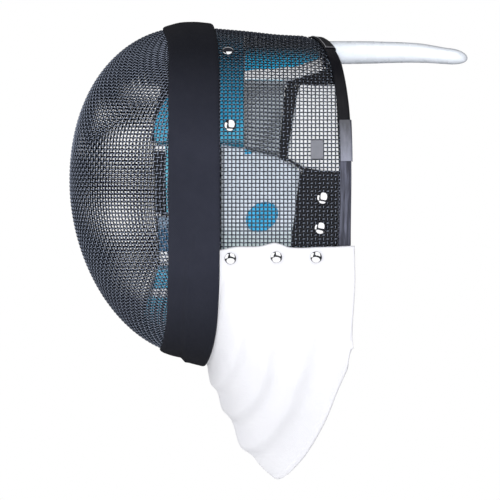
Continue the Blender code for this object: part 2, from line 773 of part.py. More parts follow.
def make_discs_and_tag(parts):
    """The oval patches on the cheek pads, and a small square tag on the left side mesh."""
    for side, sign in SIDES:
        girth = float(girth_at(DISC["z"]))
        centre = form(sign * girth, DISC["y"], DISC_LIFT)
        bm = bmesh.new()
        bmesh.ops.create_cone(
            bm, cap_ends=True, segments=20, radius1=1.0, radius2=1.0, depth=DISC_WALL
        )
        bmesh.ops.scale(bm, vec=(DISC["half_width"], DISC["half_height"], 1.0), verts=bm.verts)
        disc = add_object(f"cheek_disc_{side}", bm, "blue", parts)
        place_on_form(disc, sign * girth, DISC["y"], centre, -DISC_WALL / 2)
    girth = float(girth_at(TAG["z"]))
    bm = bmesh.new()
    bmesh.ops.create_cube(bm, size=2.0)
    bmesh.ops.scale(
        bm, vec=(TAG["half_width"], TAG["half_height"], TAG["wall"] / 2), verts=bm.verts
    )
    tag = add_object("mesh_tag", bm, "grey", parts)
    place_on_form(tag, girth, TAG["y"], form(girth, TAG["y"], GAP), TAG["wall"] / 2)


def normal_on_form(girth, y):
    """The outward normal at a place on the form."""
    step = 1e-4
    down = form(girth + step, y) - form(girth - step, y)
    back = form(girth, y + step) - form(girth, y - step)
    normal = Vector(np.cross(back, down)).normalized()
    x, _, _, _ = on_outline(girth)
    return normal if normal.x * float(x) > 0.0 else -normal


def place_on_form(obj, girth, y, point, lift):
    """Stands an object's Z axis on the form, with its X axis along the depth of the mask."""
    normal = normal_on_form(girth, y)
    back = Vector((0.0, 1.0, 0.0))
    back = (back - normal * back.dot(normal)).normalized()
    down = normal.cross(back)
    matrix = obj.matrix_world.to_3x3()
    matrix.col[0], matrix.col[1], matrix.col[2] = back, down, normal
    obj.rotation_euler = matrix.to_euler()
    obj.location = Vector(point) + normal * lift


# ---------------------------------------------------------------- rivets
def rivet_mesh(shank, finish):
    """A turned rivet: a low dome above z = 0 and a shank below it."""
    head, height, radius = RIVET_HEAD_RADIUS, RIVET_HEAD_HEIGHT, RIVET_SHANK_RADIUS
    arc = np.linspace(0.0, math.pi / 2, 5)
    profile = [(head * math.sin(a), height * math.cos(a)) for a in arc]
    profile += [(radius, 0.0), (radius, -shank), (0.0, -shank)]
    mesh = bpy.data.meshes.new("rivet")
    bm = bmesh.new()
    points = [bm.verts.new((r, 0.0, z)) for r, z in profile]
    for first, second in zip(points, points[1:]):
        bm.edges.new((first, second))
    bm.to_mesh(mesh)
    bm.free()
    mesh.materials.append(material_of(finish))
    return mesh


def make_rivets(parts, cutters):
    """Seven rivets a side, and the cutter for the bores that they go through."""
    meshes = {}
    bores = bmesh.new()
    for name, y, z, outside, within in RIVETS:
        for side, sign in SIDES:
            shank = outside + within + MESH_WALL
            if shank not in meshes:
                meshes[shank] = rivet_mesh(shank, "chrome")
            rivet = bpy.data.objects.new(f"rivet_{name}_{side}", meshes[shank])
            parts.objects.link(rivet)
            girth = sign * float(girth_at(z))
            point = form(girth, y)
            place_on_form(rivet, girth, y, point, outside + GAP)
            screw = rivet.modifiers.new("Turn", "SCREW")
            screw.steps = RIVET_SIDES
            screw.render_steps = RIVET_SIDES
            screw.use_merge_vertices = True
            screw.merge_threshold = MERGE
            bore = bmesh.ops.create_cone(
                bores, cap_ends=True, segments=RIVET_SIDES, depth=RIVET_BORE_LENGTH,
                radius1=RIVET_BORE_RADIUS, radius2=RIVET_BORE_RADIUS,
            )
            turn = rivet.rotation_euler.to_matrix().to_4x4()
            turn.translation = Vector(point)
            bmesh.ops.transform(bores, matrix=turn, verts=bore["verts"])
    cutter = add_object("rivet_bores", bores, None, cutters)
    cutter.hide_render = True
    cutter.display_type = "WIRE"
    return cutter


def main():
    clear_scene()
    parts = new_collection("fencing_mask")
    cutters = new_collection("cutters")
    make_front_mesh(parts)
    side_mesh = make_side_mesh(parts)
    make_trim_band(parts)
    make_rear_rim(parts)
    make_rim_cover("rim_cover_crown", CROWN_COVER_GIRTH, parts)
    for side, sign in SIDES:
        make_rim_cover(f"rim_sleeve_{side}", [sign * girth for girth in SLEEVE_GIRTH], parts)
    bib = make_bib(parts)
    make_tongue_spring(parts)
    make_tongue_sleeve(parts)
    make_lining(parts)
    make_arched_pads(parts)
    make_discs_and_tag(parts)
    bores = make_rivets(parts, cutters)
    cut(side_mesh, bores)
    cut(bib, bores)
    for side, _ in SIDES:
        cut(bpy.data.objects[f"anchor_patch_{side}"], bores)


if __name__ == "__main__":
    main()
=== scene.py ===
"""The looks of a fencing mask: woven wire, bands, bib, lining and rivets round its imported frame.

All sizes are in metres. The mask faces -Y, +Z is up and X runs across the head. Most pieces lie on
one outer form: the outline of the seam between the face mesh and the side mesh, closed to a dome in
front and carried straight back behind. A place on that form is a girth (0 at the crown, 1 at the
chin, positive on the wearer's left), a depth y, and a lift outside the form.
"""

import functools
import math

import bpy
import numpy as np
from mathutils import Euler, Matrix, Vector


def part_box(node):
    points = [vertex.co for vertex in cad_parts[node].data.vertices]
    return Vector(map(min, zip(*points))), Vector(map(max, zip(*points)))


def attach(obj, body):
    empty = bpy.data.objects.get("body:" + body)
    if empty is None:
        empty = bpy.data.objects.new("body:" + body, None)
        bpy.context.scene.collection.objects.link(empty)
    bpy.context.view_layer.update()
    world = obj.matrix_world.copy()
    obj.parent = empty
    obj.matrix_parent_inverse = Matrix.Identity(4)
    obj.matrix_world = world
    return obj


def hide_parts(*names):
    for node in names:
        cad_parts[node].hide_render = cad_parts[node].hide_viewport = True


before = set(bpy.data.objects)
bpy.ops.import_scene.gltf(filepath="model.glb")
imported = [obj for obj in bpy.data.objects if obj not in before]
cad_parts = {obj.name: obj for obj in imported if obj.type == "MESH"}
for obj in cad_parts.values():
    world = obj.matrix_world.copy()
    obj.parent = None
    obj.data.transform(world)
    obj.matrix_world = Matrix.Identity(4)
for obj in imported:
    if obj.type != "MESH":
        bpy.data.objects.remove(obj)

bl_info = {
    "name": "Fencing mask",
    "version": (1, 0, 0),
    "blender": (4, 5, 0),
    "location": "3D View > Sidebar > Mask",
    "description": "Builds the wire cloth, bands, bib, lining and rivets of a fencing mask",
    "category": "Add Mesh",
}

BODY = "root"
SIDES = (("left", 1.0), ("right", -1.0))

# ---------------------------------------------------------------- the outer form
CROWN_RADIUS = 0.087  # the seam's outline is half a circle over the crown
CROWN_CENTRE_Z = -0.0714
JAW_HALF_WIDTH = 0.0905
JAW_Z = -0.132
CHIN_Z = -0.2475
CHIN_FULLNESS = 2.2  # exponent of the superellipse that closes the chin
SEAM_Y = -0.054
DOME_DEPTH = 0.0984
DOME_POLE_Z = -0.109
DOME_FULLNESS_CROWN = 2.15  # exponents of the dome's lengthwise superellipse
DOME_FULLNESS_CHIN = 1.90
CROWN_FALL = (
    # y, how far the crown line has fallen
    (-0.054, 0.0000), (-0.034, 0.0016), (-0.011, 0.0036), (0.014, 0.0063), (0.0300, 0.0072),
    (0.0355, 0.0075), (0.0385, 0.0090), (0.0420, 0.0095), (0.0470, 0.0101), (0.0560, 0.0108),
    (0.080, 0.0110),
)
MESH_WALL = 0.0020  # two crossing wires
GAP = 0.0004  # clearance kept between pieces that touch
SIDE_MESH_GIRTH = 20 / 30  # the side mesh ends under the bib

# ---------------------------------------------------------------- trim tape and rear binding
TRIM_EDGES = (
    # girth, front y, rear y
    (0.00, -0.0776, -0.0372), (0.05, -0.0772, -0.0366), (0.10, -0.0752, -0.0348),
    (0.14, -0.0728, -0.0334), (0.20, -0.0718, -0.0323), (0.30, -0.0716, -0.0318),
    (0.62, -0.0714, -0.0312), (0.80, -0.0735, -0.0340), (1.00, -0.0800, -0.0440),
)
TRIM_PROUD = 0.0036
TRIM_PROUD_OVER_BIB = 0.0026
TRIM_PROUD_AHEAD = 0.0026  # over the mesh ahead of the bib's tucked edge
TRIM_ROUND = 0.0036
TRIM_PRESSED = 0.42  # how much flatter the front edge is over the crown
TRIM_PRESSED_GIRTH = (0.06, 0.17)
TRIM_PRESSED_REACH = (0.0, 0.017)  # from the front edge
TRIM_EDGE_SHARE = 0.32  # of the tape's thickness that stands straight up at its edges
TRIM_TUCK_GIRTH = (17 / 30, 18 / 30)  # where the bib's edge starts to lie under the trim
TRIM_AHEAD_GIRTH = (0.60, 0.85)
TRIM_STEP = (0.0040, 0.0008)  # ahead of the bib's edge, where the inner face steps up
TRIM_STEP_OUTSIDE = (0.0028, 0.0016)  # and its outer face this much further ahead
RIM_EDGE = (
    # girth, rear y, width
    (0.000, 0.0486, 0.0078), (0.045, 0.0510, 0.0079), (0.090, 0.0550, 0.0082),
    (0.121, 0.0576, 0.0084), (0.155, 0.0608, 0.0086), (0.200, 0.0640, 0.0088),
    (0.330, 0.0694, 0.0090), (0.440, 0.0708, 0.0088), (0.600, 0.0703, 0.0091),
    (1.000, 0.0706, 0.0094),
)
RIM_WALL = 0.0008
COVER_WALL = 0.0005
COVER_GAP = 0.0001
COVER_PRESSED = 0.0011  # how much lower it lies past the front edge of the rim
COVER_PRESSED_REACH = (-0.0006, 0.0014)  # ahead of that edge
COVER_FRONT = (
    # girth, y of the front edge of the second layer
    (0.000, 0.0388), (0.020, 0.0410), (0.040, 0.0446), (0.095, 0.0490), (0.133, 0.0516),
)
COVER_SET_BACK = 0.0006
COVER_BEND = 0.0014
CROWN_COVER_GIRTH = 4 / 30
SLEEVE_GIRTH = (0.351, 0.440)
RIM_CREASE_GIRTH = (0.43, 0.46)  # below here the binding has creased lengthwise
RIM_CREASE = 0.00042  # how high the creases stand
THREAD_RADIUS = 0.00034

# ---------------------------------------------------------------- bib
BIB_WALL = 0.0030
BIB_SLOPE = 0.25  # the collar leaves the chin at this slope
BIB_SLOPE_REACH = 0.0145
BIB_SLOPE_GIRTH = (0.62, 0.82)
BIB_OVER_RIM = 0.0014  # extra lift over the rim, gained between two depths
BIB_OVER_RIM_Y = (0.052, 0.058)
# Across is 0 at the middle of the chin and 1 at the rear corner.
BIB_TOP = (
    # across, girth, y
    (0.00, 1.000, -0.0570), (0.42, 0.668, -0.0530), (0.50, 0.620, -0.0470), (0.56, 0.612, -0.0380),
    (1.00, 0.612, 0.0732),
)
BIB_COLLAR = (
    # across, girth, y
    (0.00, 1.000, -0.0430), (0.42, 0.718, -0.0310), (0.50, 0.678, -0.0270), (0.56, 0.662, -0.0180),
    (1.00, 0.662, 0.0736),
)
BIB_FREE_EDGE = (
    # across, x, y, z
    (0.00, 0.000, 0.0140, -0.3468), (0.05, 0.0060, 0.0186, -0.3456),
    (0.13, 0.0145, 0.0250, -0.3398), (0.28, 0.0295, 0.0370, -0.3250),
    (0.51, 0.0500, 0.0510, -0.2990), (0.71, 0.0660, 0.0608, -0.2730),
    (0.90, 0.0790, 0.0676, -0.2545), (1.00, 0.0822, 0.0702, -0.2400),
)
BIB_TOP_DIP = (
    # y, how far the cloth's upper edge hangs below its highest line
    (-0.0380, 0.0066), (-0.0298, 0.0062), (-0.0197, 0.0040), (0.0000, 0.0034), (0.0114, 0.0008),
    (0.0231, 0.0044), (0.0464, 0.0042), (0.0720, 0.0030),
)
BIB_DIP_ACROSS = (0.50, 0.58)  # where the dips begin
BIB_CHIN = (0.30, 0.55)  # across, where the hanging part turns from the chin's lie to the side's
BIB_LEAVING_CHIN = (0.0, 0.45, -0.84)
BIB_LEAVING_SIDE = (0.0, 0.05, -1.0)
BIB_CURL = (0.0, 0.66, -0.30)  # the tip's lie
BIB_CURL_ACROSS = 0.35
BIB_FOLDS = (
    # depth, share of the height that it swells over, and drops away over, across where it runs
    # out, and its line as rows of across and place down the bib
    (0.0036, 0.100, 0.050, (0.28, 0.56), (
        (0.00, 0.140), (0.17, 0.192), (0.32, 0.243), (0.43, 0.280), (0.56, 0.300),
    )),
    (0.0042, 0.110, 0.062, (0.40, 0.72), (
        (0.00, 0.325), (0.10, 0.390), (0.19, 0.436), (0.30, 0.480), (0.45, 0.515), (0.58, 0.470),
        (0.72, 0.380),
    )),
    (0.0046, 0.130, 0.074, (0.50, 0.86), (
        (0.00, 0.592), (0.10, 0.640), (0.20, 0.680), (0.30, 0.704), (0.42, 0.735), (0.58, 0.705),
        (0.72, 0.600), (0.86, 0.470),
    )),
)
FOLD_START = 0.06  # share of the height below the collar before they begin
BIB_CREASES = 0.00022  # how high the finer creases stand
BIB_INSIDE = (0.0, 0.05, -0.2)  # a point inside the bib
BIB_SPAN = 0.46  # rough width of the bib, which spaces its columns
BIB_COLUMNS, BIB_ROWS = 150, 121
BIB_HEM = 0.0052  # width of the sewn hem
BIB_HEM_PROUD = 0.00030
BIB_GROOVE = (0.00042, 0.0007)  # depth and width of the groove of the hem's seam
BIB_DIMPLE = (0.0007, 0.0085)  # depth and radius of the hollow round a rivet

# ---------------------------------------------------------------- tongue
SPRING_HALF_WIDTH = 0.009
SPRING_WALL = 0.0010
SPRING_PATH = (
    # y, z of the strip's top
    (-0.0090, 0.0081), (0.0140, 0.0055), (0.0300, 0.0045), (0.0400, 0.0028), (0.0470, 0.0017),
    (0.0550, 0.0009), (0.0585, 0.0004), (0.0660, -0.0010), (0.0850, -0.0034), (0.1200, -0.0052),
    (0.1480, -0.0078),
)
SLEEVE_WALL = 0.0016
TONGUE_FULLNESS = 2.5  # exponent of the sleeve's oval
TONGUE_SECTIONS = (
    # y, z of the middle, half height, half width
    (0.0540, -0.0054, 0.0092, 0.0150), (0.0900, -0.0052, 0.0088, 0.0148),
    (0.1264, -0.0056, 0.0077, 0.0142), (0.1490, -0.0080, 0.0064, 0.0126),
    (0.1580, -0.0088, 0.0058, 0.0104), (0.1630, -0.0094, 0.0044, 0.0074),
    (0.1660, -0.0098, 0.0000, 0.0000),
)

# ---------------------------------------------------------------- lining
LINING_LIFT = -(MESH_WALL + 0.0005)  # the outer face of what lies on the mesh's inside
LINING_CELL = 0.0022  # size of a pad's faces


def lining_pad(finish, wall, rounded, sections, puff=0.0, lift=LINING_LIFT):
    """A pad of the lining: how thick it is, how round its edge, and how far it swells inwards.

    Each section is upper y, upper z, lower y and lower z, on the heights of the seam's outline.
    """
    return {
        "finish": finish, "wall": wall, "round": rounded, "sections": sections, "puff": puff,
        "lift": lift,
    }


LINING = {
    "crown_tape": lining_pad("white", 0.0014, 0.0007, (
        (-0.0120, -0.0198, -0.0120, -0.0274), (0.0150, -0.0164, 0.0170, -0.0267),
        (0.0310, -0.0136, 0.0310, -0.0241), (0.0470, -0.0035, 0.0480, -0.0162),
    )),
    "temple_pad": lining_pad("temple", 0.0080, 0.0030, (
        (-0.0836, -0.0800, -0.0816, -0.1360), (-0.0330, -0.0800, -0.0330, -0.1360),
    ), puff=0.0020),
    "jaw_pad": lining_pad("jaw", 0.0080, 0.0050, (
        (-0.0815, -0.1375, -0.0800, -0.1770), (-0.0330, -0.1375, -0.0330, -0.1770),
    ), puff=0.0020),
    "spacer_panel": lining_pad("spacer", 0.0050, 0.0012, (
        (-0.0120, -0.0290, -0.0120, -0.0835), (0.0195, -0.0290, 0.0148, -0.0885),
    )),
    "cheek_pad": lining_pad("cheek", 0.0120, 0.0036, (
        (-0.0305, -0.0802, -0.0305, -0.1740), (-0.0119, -0.0836, -0.0119, -0.1740),
        (0.0155, -0.0905, 0.0120, -0.1740), (0.0310, -0.1010, 0.0270, -0.1740),
    ), puff=0.0030, lift=-0.0052),
    "strap_upper": lining_pad("webbing", 0.0018, 0.0009, (
        (0.0200, -0.0290, 0.0209, -0.0335), (0.0309, -0.0252, 0.0309, -0.0306),
        (0.0480, -0.0178, 0.0480, -0.0299), (0.0543, -0.0130, 0.0556, -0.0293),
    )),
    "strap_side": lining_pad("webbing", 0.0018, 0.0009, (
        (0.0203, -0.0342, 0.0153, -0.0901), (0.0296, -0.0316, 0.0208, -0.0901),
    )),
    "ear_cloth": lining_pad("white", 0.0010, 0.0005, (
        (0.0304, -0.0314, 0.0218, -0.0911), (0.0400, -0.0311, 0.0341, -0.0979),
        (0.0490, -0.0307, 0.0464, -0.1004), (0.0590, -0.0302, 0.0612, -0.1022),
    )),
    "spacer_piping": lining_pad("piping", 0.0010, 0.0005, (
        (-0.0120, -0.0277, -0.0120, -0.0287), (0.0190, -0.0271, 0.0190, -0.0286),
    )),
    "blue_tab": lining_pad("disc", 0.0018, 0.0009, (
        (-0.0120, -0.0845, -0.0120, -0.0884), (-0.0060, -0.0862, -0.0072, -0.0882),
    )),
    "patch_tail": lining_pad("webbing", 0.0018, 0.0009, (
        (0.0203, -0.0908, 0.0197, -0.0922), (0.0345, -0.0990, 0.0333, -0.1014),
    )),
    "anchor_patch": lining_pad("webbing", 0.0020, 0.0010, (
        (0.0301, -0.1073, 0.0231, -0.1640), (0.0345, -0.0990, 0.0330, -0.1640),
        (0.0464, -0.1010, 0.0464, -0.1640), (0.0604, -0.1028, 0.0600, -0.1640),
    )),
}
TRIMMINGS = ("spacer_piping", "blue_tab")  # small pieces with no part of their own in the frame
ARCHED_PADS = {
    "crown_pad": {
        "girth_from": -0.2, "girth_to": 0.2, "front": -0.0121, "rear": 0.0470, "depth": 0.0591,
        "lift": -0.0055, "wall": 0.0044, "round": 0.0010, "puff": 0.0015, "counts": (60, 24),
        "finish": "teal", "fill": 0.6,
    },
    "forehead_pad": {
        "girth_from": -0.397, "girth_to": 0.397, "rear": -0.0125, "depth": 0.058,
        "lift": LINING_LIFT, "wall": 0.0080, "round": 0.0008, "puff": 0.0020, "counts": (96, 22),
        "finish": "blue", "fill": 0.7,
    },
    "chin_pad": {
        "girth_from": 0.685, "girth_to": 1.315, "rear": -0.0580, "depth": 0.040,
        "lift": -0.0036, "wall": 0.0110, "round": 0.0008, "puff": 0.0020, "counts": (96, 22),
        "finish": "chin", "fill": 0.7,
    },
}
CROWN_PAD_EDGE = (
    # y, girth of the pad's lower edge
    (-0.0110, 0.216), (0.0000, 0.212), (0.0154, 0.203), (0.0310, 0.189), (0.0400, 0.172),
    (0.0470, 0.146),
)
FACE_PAD_FRONT = (
    # girth, y of the front edge of the ring of pads round the face
    (0.00, -0.0740), (0.26, -0.0775), (0.32, -0.0818), (0.38, -0.0846), (0.66, -0.0800),
    (0.80, -0.0910), (1.00, -0.1010),
)
DISC = {
    "y": 0.0013, "z": -0.1376, "half_width": 0.0126, "half_height": 0.0117, "lean": 0.22,
    "wall": 0.0014, "lift": -0.0031,
}
TAG = {"y": 0.0440, "z": -0.0852, "half_width": 0.0050, "half_height": 0.0074, "wall": 0.0008}
# Zones of another colour: height of the lower and upper border.
# painted shade: the tape keeps its colour between these heights and is painted darker above and
# below them
UNSHADED_PART_OF_TAPE = (-0.2200, -0.0450)
GREY_PART_OF_BINDING = (-0.4, -0.090)
WHITE_BAND_OF_TEMPLE = (-0.0862, -0.0700)
BLUE_STRIP_OF_TEMPLE = (0.0092, 0.0114)  # from the pad's front
PALE_TOP_OF_JAW = (-0.1455, -0.1300)
WHITE_END_OF_JAW = (-0.1900, -0.1640)
# painted shade on the cheek pads' lower end, towards the bib
SHADED_END_OF_CHEEK = (-0.1900, -0.1500)
STRIPE_OF_CHIN = (-0.1996, -0.1930)

# ---------------------------------------------------------------- rivets
RIVET_HEAD_RADIUS = 0.0047
RIVET_HEAD_HEIGHT = 0.0021
RIVET_LIP = 0.0005
RIVET_SHANK_RADIUS = 0.0016
RIVETS = (
    # name, y, height on the seam's outline, layers outside, layers inside, lean to the front
    ("crown", -0.0253, -0.0063, 0.0, 0.0, 0.0),
    ("temple", -0.0235, -0.0663, 0.0, 0.0, 3.0),
    ("patch_upper", 0.0486, -0.1229, 0.0, 0.0025, -1.0),
    ("patch_lower", 0.0467, -0.1462, 0.0, 0.0025, -1.0),
    ("bib_front", -0.0227, -0.1690, 0.0034, 0.0, 7.0),
    ("bib_middle", 0.0129, -0.1680, 0.0034, 0.0, 7.0),
    ("bib_rear", 0.0437, -0.1680, 0.0037, 0.0, 5.0),
)

# ---------------------------------------------------------------- the view
VIEW_CENTRE = (0.0, -0.008, -0.1632)  # what the middle of the picture shows
SENSOR_WIDTH = 0.036
CLOTH_MAP = "Cloth"  # the map that a weave reads, in metres over the cloth
CREST_HIGHLIGHT_MAP = "Wear"  # the wires' map of their crests and how far they face outwards, for the painted highlight
BAKE_MAP = "OFBake"  # the wires' own flat layout, one strip for each wire


# ================================================================ settings
def number_setting(label, description, default, unit="NONE"):
    return bpy.props.FloatProperty(
        name=label, description=description, default=default, min=0.0, unit=unit
    )


def length_setting(label, description, default):
    return number_setting(label, description, default, "LENGTH")


def colour_setting(label, description, default):
    return bpy.props.FloatVectorProperty(
        name=label, description=description, default=default, size=3, min=0.0, max=1.0,
        subtype="COLOR",
    )


def share_setting(label, description, default):
    return bpy.props.FloatProperty(
        name=label, description=description, default=default, min=0.0, max=1.0, subtype="FACTOR"
    )


class WireSettings(bpy.types.PropertyGroup):
    """The woven wire of the face and the sides."""

    diameter: length_setting("Side wire", "Diameter of a wire of the sides", 0.00095)
    face_diameter: length_setting("Face wire", "Diameter of a wire of the face", 0.00114)
    pitch: length_setting("Pitch", "Distance from one wire to the next", 0.0031)
    # painted highlight: these crest heights and the rubbed colours below give a lighter colour on
    # each crest that faces outwards
    highlight_from: share_setting("Wear", "How high on a crest the wire begins to be rubbed", 0.22)
    side_highlight_from: share_setting("Wear of the sides", "The same on the sides", 0.74)
    dark: colour_setting("Coat", "Colour of the blackened wire", (0.030, 0.034, 0.044))
    light: colour_setting("Rubbed coat", "Colour where the coat is rubbed", (0.310, 0.350, 0.445))
    side_highlight: colour_setting("Rubbed sides", "The same on the sides", (0.320, 0.360, 0.450))


class BandSettings(bpy.types.PropertyGroup):
    """The trim tape round the face and the binding of the rear edge."""

    tape: colour_setting("Tape", "Colour of the trim tape", (0.0150, 0.0165, 0.0255))
    tape_worn: colour_setting(
        "Tape, worn", "Its colour where it is rubbed", (0.0230, 0.0250, 0.0370)
    )
    binding: colour_setting("Binding", "Colour of the upper binding", (0.004, 0.004, 0.006))
    binding_low: colour_setting("Lower binding", "Its colour lower down", (0.062, 0.065, 0.088))
    sleeve: colour_setting("Sleeve", "Colour of the glossy overlap", (0.120, 0.125, 0.158))


class BibSettings(bpy.types.PropertyGroup):
    """The white throat bib."""

    cloth: colour_setting("Cloth", "Colour of the bib", (0.670, 0.670, 0.690))
    cloth_shade: colour_setting("Cloth, shaded", "Its colour in patches", (0.646, 0.650, 0.686))
    threads: number_setting("Threads", "Threads to a metre of cloth", 1100.0)
    fold_strength: number_setting("Folds", "How deep the sagging folds are", 1.0)


class TongueSettings(bpy.types.PropertyGroup):
    """The sprung tongue behind the crown."""

    plastic: colour_setting("Plastic", "Colour of the soft sleeve", (0.780, 0.825, 0.890))
    steel: colour_setting("Steel", "Colour of the spring", (0.560, 0.570, 0.590))


class LiningSettings(bpy.types.PropertyGroup):
    """The pads, tapes and straps inside."""

    teal: colour_setting("Teal", "Colour of the crown pad", (0.014, 0.360, 0.620))
    blue: colour_setting("Blue", "Colour of the face pads", (0.030, 0.330, 0.600))
    blue_pale: colour_setting("Pale blue", "Colour of their worn nap", (0.090, 0.520, 0.820))
    # painted shade: the colour the face pads are painted towards the crown
    blue_painted_shade: colour_setting("Deep blue", "Colour of the pads by the crown", (0.006, 0.080, 0.150))
    white: colour_setting("White", "Colour of the cheek pads", (0.930, 0.950, 0.980))
    grey: colour_setting("Grey", "Colour of the ribbed panels", (0.290, 0.320, 0.355))
    black: colour_setting("Black", "Colour of the webbing", (0.010, 0.010, 0.012))


class RivetSettings(bpy.types.PropertyGroup):
    """The domed rivets."""

    chrome: colour_setting("Chrome", "Colour of the plated head", (0.780, 0.780, 0.800))
    polish: share_setting("Polish", "How little the plating is scratched", 0.92)
    sides: bpy.props.IntProperty(
        name="Sides", description="Faces round a rivet", default=32, min=8, max=96
    )


class StudioSettings(bpy.types.PropertyGroup):
    """The table, the lights and the camera."""

    table_drop: length_setting("Table", "Depth of the table below the bib's tip", 0.075)
    table_radius: length_setting("Table size", "Radius of the table", 0.70)
    camera_distance: length_setting("Camera", "Distance from camera to mask", 3.0)
    picture_width: length_setting("Picture", "Width that the picture takes in", 0.4)
    softbox: number_setting("Softboxes", "Brightness of the softboxes", 1.5)
    front: number_setting("Front light", "Power of the light at the camera", 66.0, "POWER")
    far: number_setting("Far light", "Power of the light on the far side", 36.0, "POWER")
    fill: colour_setting("Fill", "Light from above and from the sides", (0.13, 0.13, 0.14))
    fill_below: colour_setting("Fill below", "Light from below", (0.44, 0.44, 0.48))
    room: colour_setting("Room", "What glossy pieces mirror", (0.032, 0.033, 0.040))


# ================================================================ the outer form
def table(rows, at, column=1):
    """The value in a table's column at a place in its first column, read along straight lines."""
    rows = np.array(rows)
    return np.interp(at, rows[:, 0], rows[:, column])


def eased_table(rows, at, column, ease=0.03):
    """The same, with its corners rounded by the mean over a short run each side of the place."""
    at = np.asarray(at, float)
    first, last = rows[0][0], rows[-1][0]
    reach = np.minimum(ease, np.minimum(at - first, last - at))
    shifts = np.linspace(-1.0, 1.0, 13)
    return np.mean([table(rows, at + shift * reach, column) for shift in shifts], axis=0)


def cubic(t, start, end, leaving, arriving, reach):
    """The cubic that leaves one value and arrives at another at given slopes, t from 0 to 1."""
    return (
        (2 * t**3 - 3 * t**2 + 1) * start
        + (t**3 - 2 * t**2 + t) * reach * leaving
        + (3 * t**2 - 2 * t**3) * end
        + (t**3 - t**2) * reach * arriving
    )


def smooth_table(rows, at, column=1):
    """The same value read along a smooth curve through the rows, level at both ends."""
    rows = np.array(rows)
    place, value = rows[:, 0], rows[:, column]
    slope = np.zeros_like(value)
    slope[1:-1] = (value[2:] - value[:-2]) / (place[2:] - place[:-2])
    at = np.clip(at, place[0], place[-1])
    low = np.clip(np.searchsorted(place, at, side="right") - 1, 0, len(place) - 2)
    width = place[low + 1] - place[low]
    t = (at - place[low]) / width
    return cubic(t, value[low], value[low + 1], slope[low], slope[low + 1], width)


def smooth_step(t):
    t = np.clip(t, 0.0, 1.0)
    return t * t * (3.0 - 2.0 * t)


def ramp(value, between):
    """Rises smoothly from 0 to 1 as a value passes from the first to the second of two places."""
    low, high = between
    return smooth_step((value - low) / (high - low))


def half_outline(samples=400):
    """The seam's outline from crown to chin: a quarter circle, an easing flank and a superellipse.

    Gives the share of the girth, x, z, the outward normal at each sample, and the whole length.
    """
    turn = np.linspace(0.0, math.pi / 2, samples)
    crown_x = CROWN_RADIUS * np.sin(turn)
    crown_z = CROWN_CENTRE_Z + CROWN_RADIUS * np.cos(turn)
    along = np.linspace(0.0, 1.0, samples)[1:-1]
    flank_x = CROWN_RADIUS + (JAW_HALF_WIDTH - CROWN_RADIUS) * smooth_step(along)
    flank_z = CROWN_CENTRE_Z + (JAW_Z - CROWN_CENTRE_Z) * along
    power = 2.0 / CHIN_FULLNESS
    chin_x = JAW_HALF_WIDTH * np.cos(turn) ** power
    chin_z = JAW_Z + (CHIN_Z - JAW_Z) * np.sin(turn) ** power
    chin_x[-1] = 0.0
    x = np.concatenate([crown_x, flank_x, chin_x])
    z = np.concatenate([crown_z, flank_z, chin_z])
    length = np.concatenate([[0.0], np.cumsum(np.hypot(np.diff(x), np.diff(z)))])
    slope_x = np.gradient(x, length)
    slope_z = np.gradient(z, length)
    size = np.hypot(slope_x, slope_z)
    return length / length[-1], x, z, -slope_z / size, slope_x / size, float(length[-1])


*OUTLINE, GIRTH_LENGTH = half_outline()


def girth_at(z):
    """The girth at a height on the seam's outline."""
    girth, _, heights, _, _ = OUTLINE
    return np.interp(-np.asarray(z, float), -heights, girth)


def on_outline(girth):
    """Point and outward normal on the seam's outline; past 1 the girth comes up the other side."""
    girth = np.mod(np.asarray(girth, float) + 1.0, 2.0) - 1.0
    side = np.where(girth < 0.0, -1.0, 1.0)
    shares, x, z, normal_x, normal_z = OUTLINE
    at = np.abs(girth)
    return (
        side * np.interp(at, shares, x),
        np.interp(at, shares, z),
        side * np.interp(at, shares, normal_x),
        np.interp(at, shares, normal_z),
    )


def dome_fullness(girth):
    """The dome's exponent, fuller at the crown than at the chin."""
    middle = (DOME_FULLNESS_CROWN + DOME_FULLNESS_CHIN) / 2
    swing = (DOME_FULLNESS_CROWN - DOME_FULLNESS_CHIN) / 2
    return middle + swing * np.cos(math.pi * np.asarray(girth, float))


def form(girth, y, lift=0.0):
    """A point on the outer form: the outline drawn in ahead of the seam, the crown let down."""
    girth, y = np.broadcast_arrays(np.asarray(girth, float), np.asarray(y, float))
    x, z, normal_x, normal_z = on_outline(girth)
    ahead = np.clip((SEAM_Y - y) / DOME_DEPTH, 0.0, 1.0)
    fullness = dome_fullness(girth)
    drawn_in = (1.0 - ahead**fullness) ** (1.0 / fullness)
    from_crown = np.abs(np.mod(girth + 1.0, 2.0) - 1.0) / girth_at(CROWN_CENTRE_Z)
    share = np.cos(np.clip(from_crown, 0.0, 1.0) * math.pi / 2) ** 2
    z = DOME_POLE_Z + (z - DOME_POLE_Z) * drawn_in - smooth_table(CROWN_FALL, y) * share
    return np.stack([x * drawn_in + normal_x * lift, y, z + normal_z * lift], axis=-1)


def dome_meridian(girth, samples=3000):
    """The dome's line from the pole out to the seam at one girth, then straight back behind it."""
    x, z, _, _ = on_outline(girth)
    power = 2.0 / dome_fullness(girth)
    turn = np.linspace(0.0, math.pi / 2, samples)
    out, ahead = np.sin(turn) ** power, np.cos(turn) ** power
    height = DOME_POLE_Z + (z - DOME_POLE_Z) * out
    line = np.stack([x * out, SEAM_Y - DOME_DEPTH * ahead, height], axis=-1)
    return np.concatenate([line, line[-1:] + np.array([[0.0, 0.08, 0.0]])])


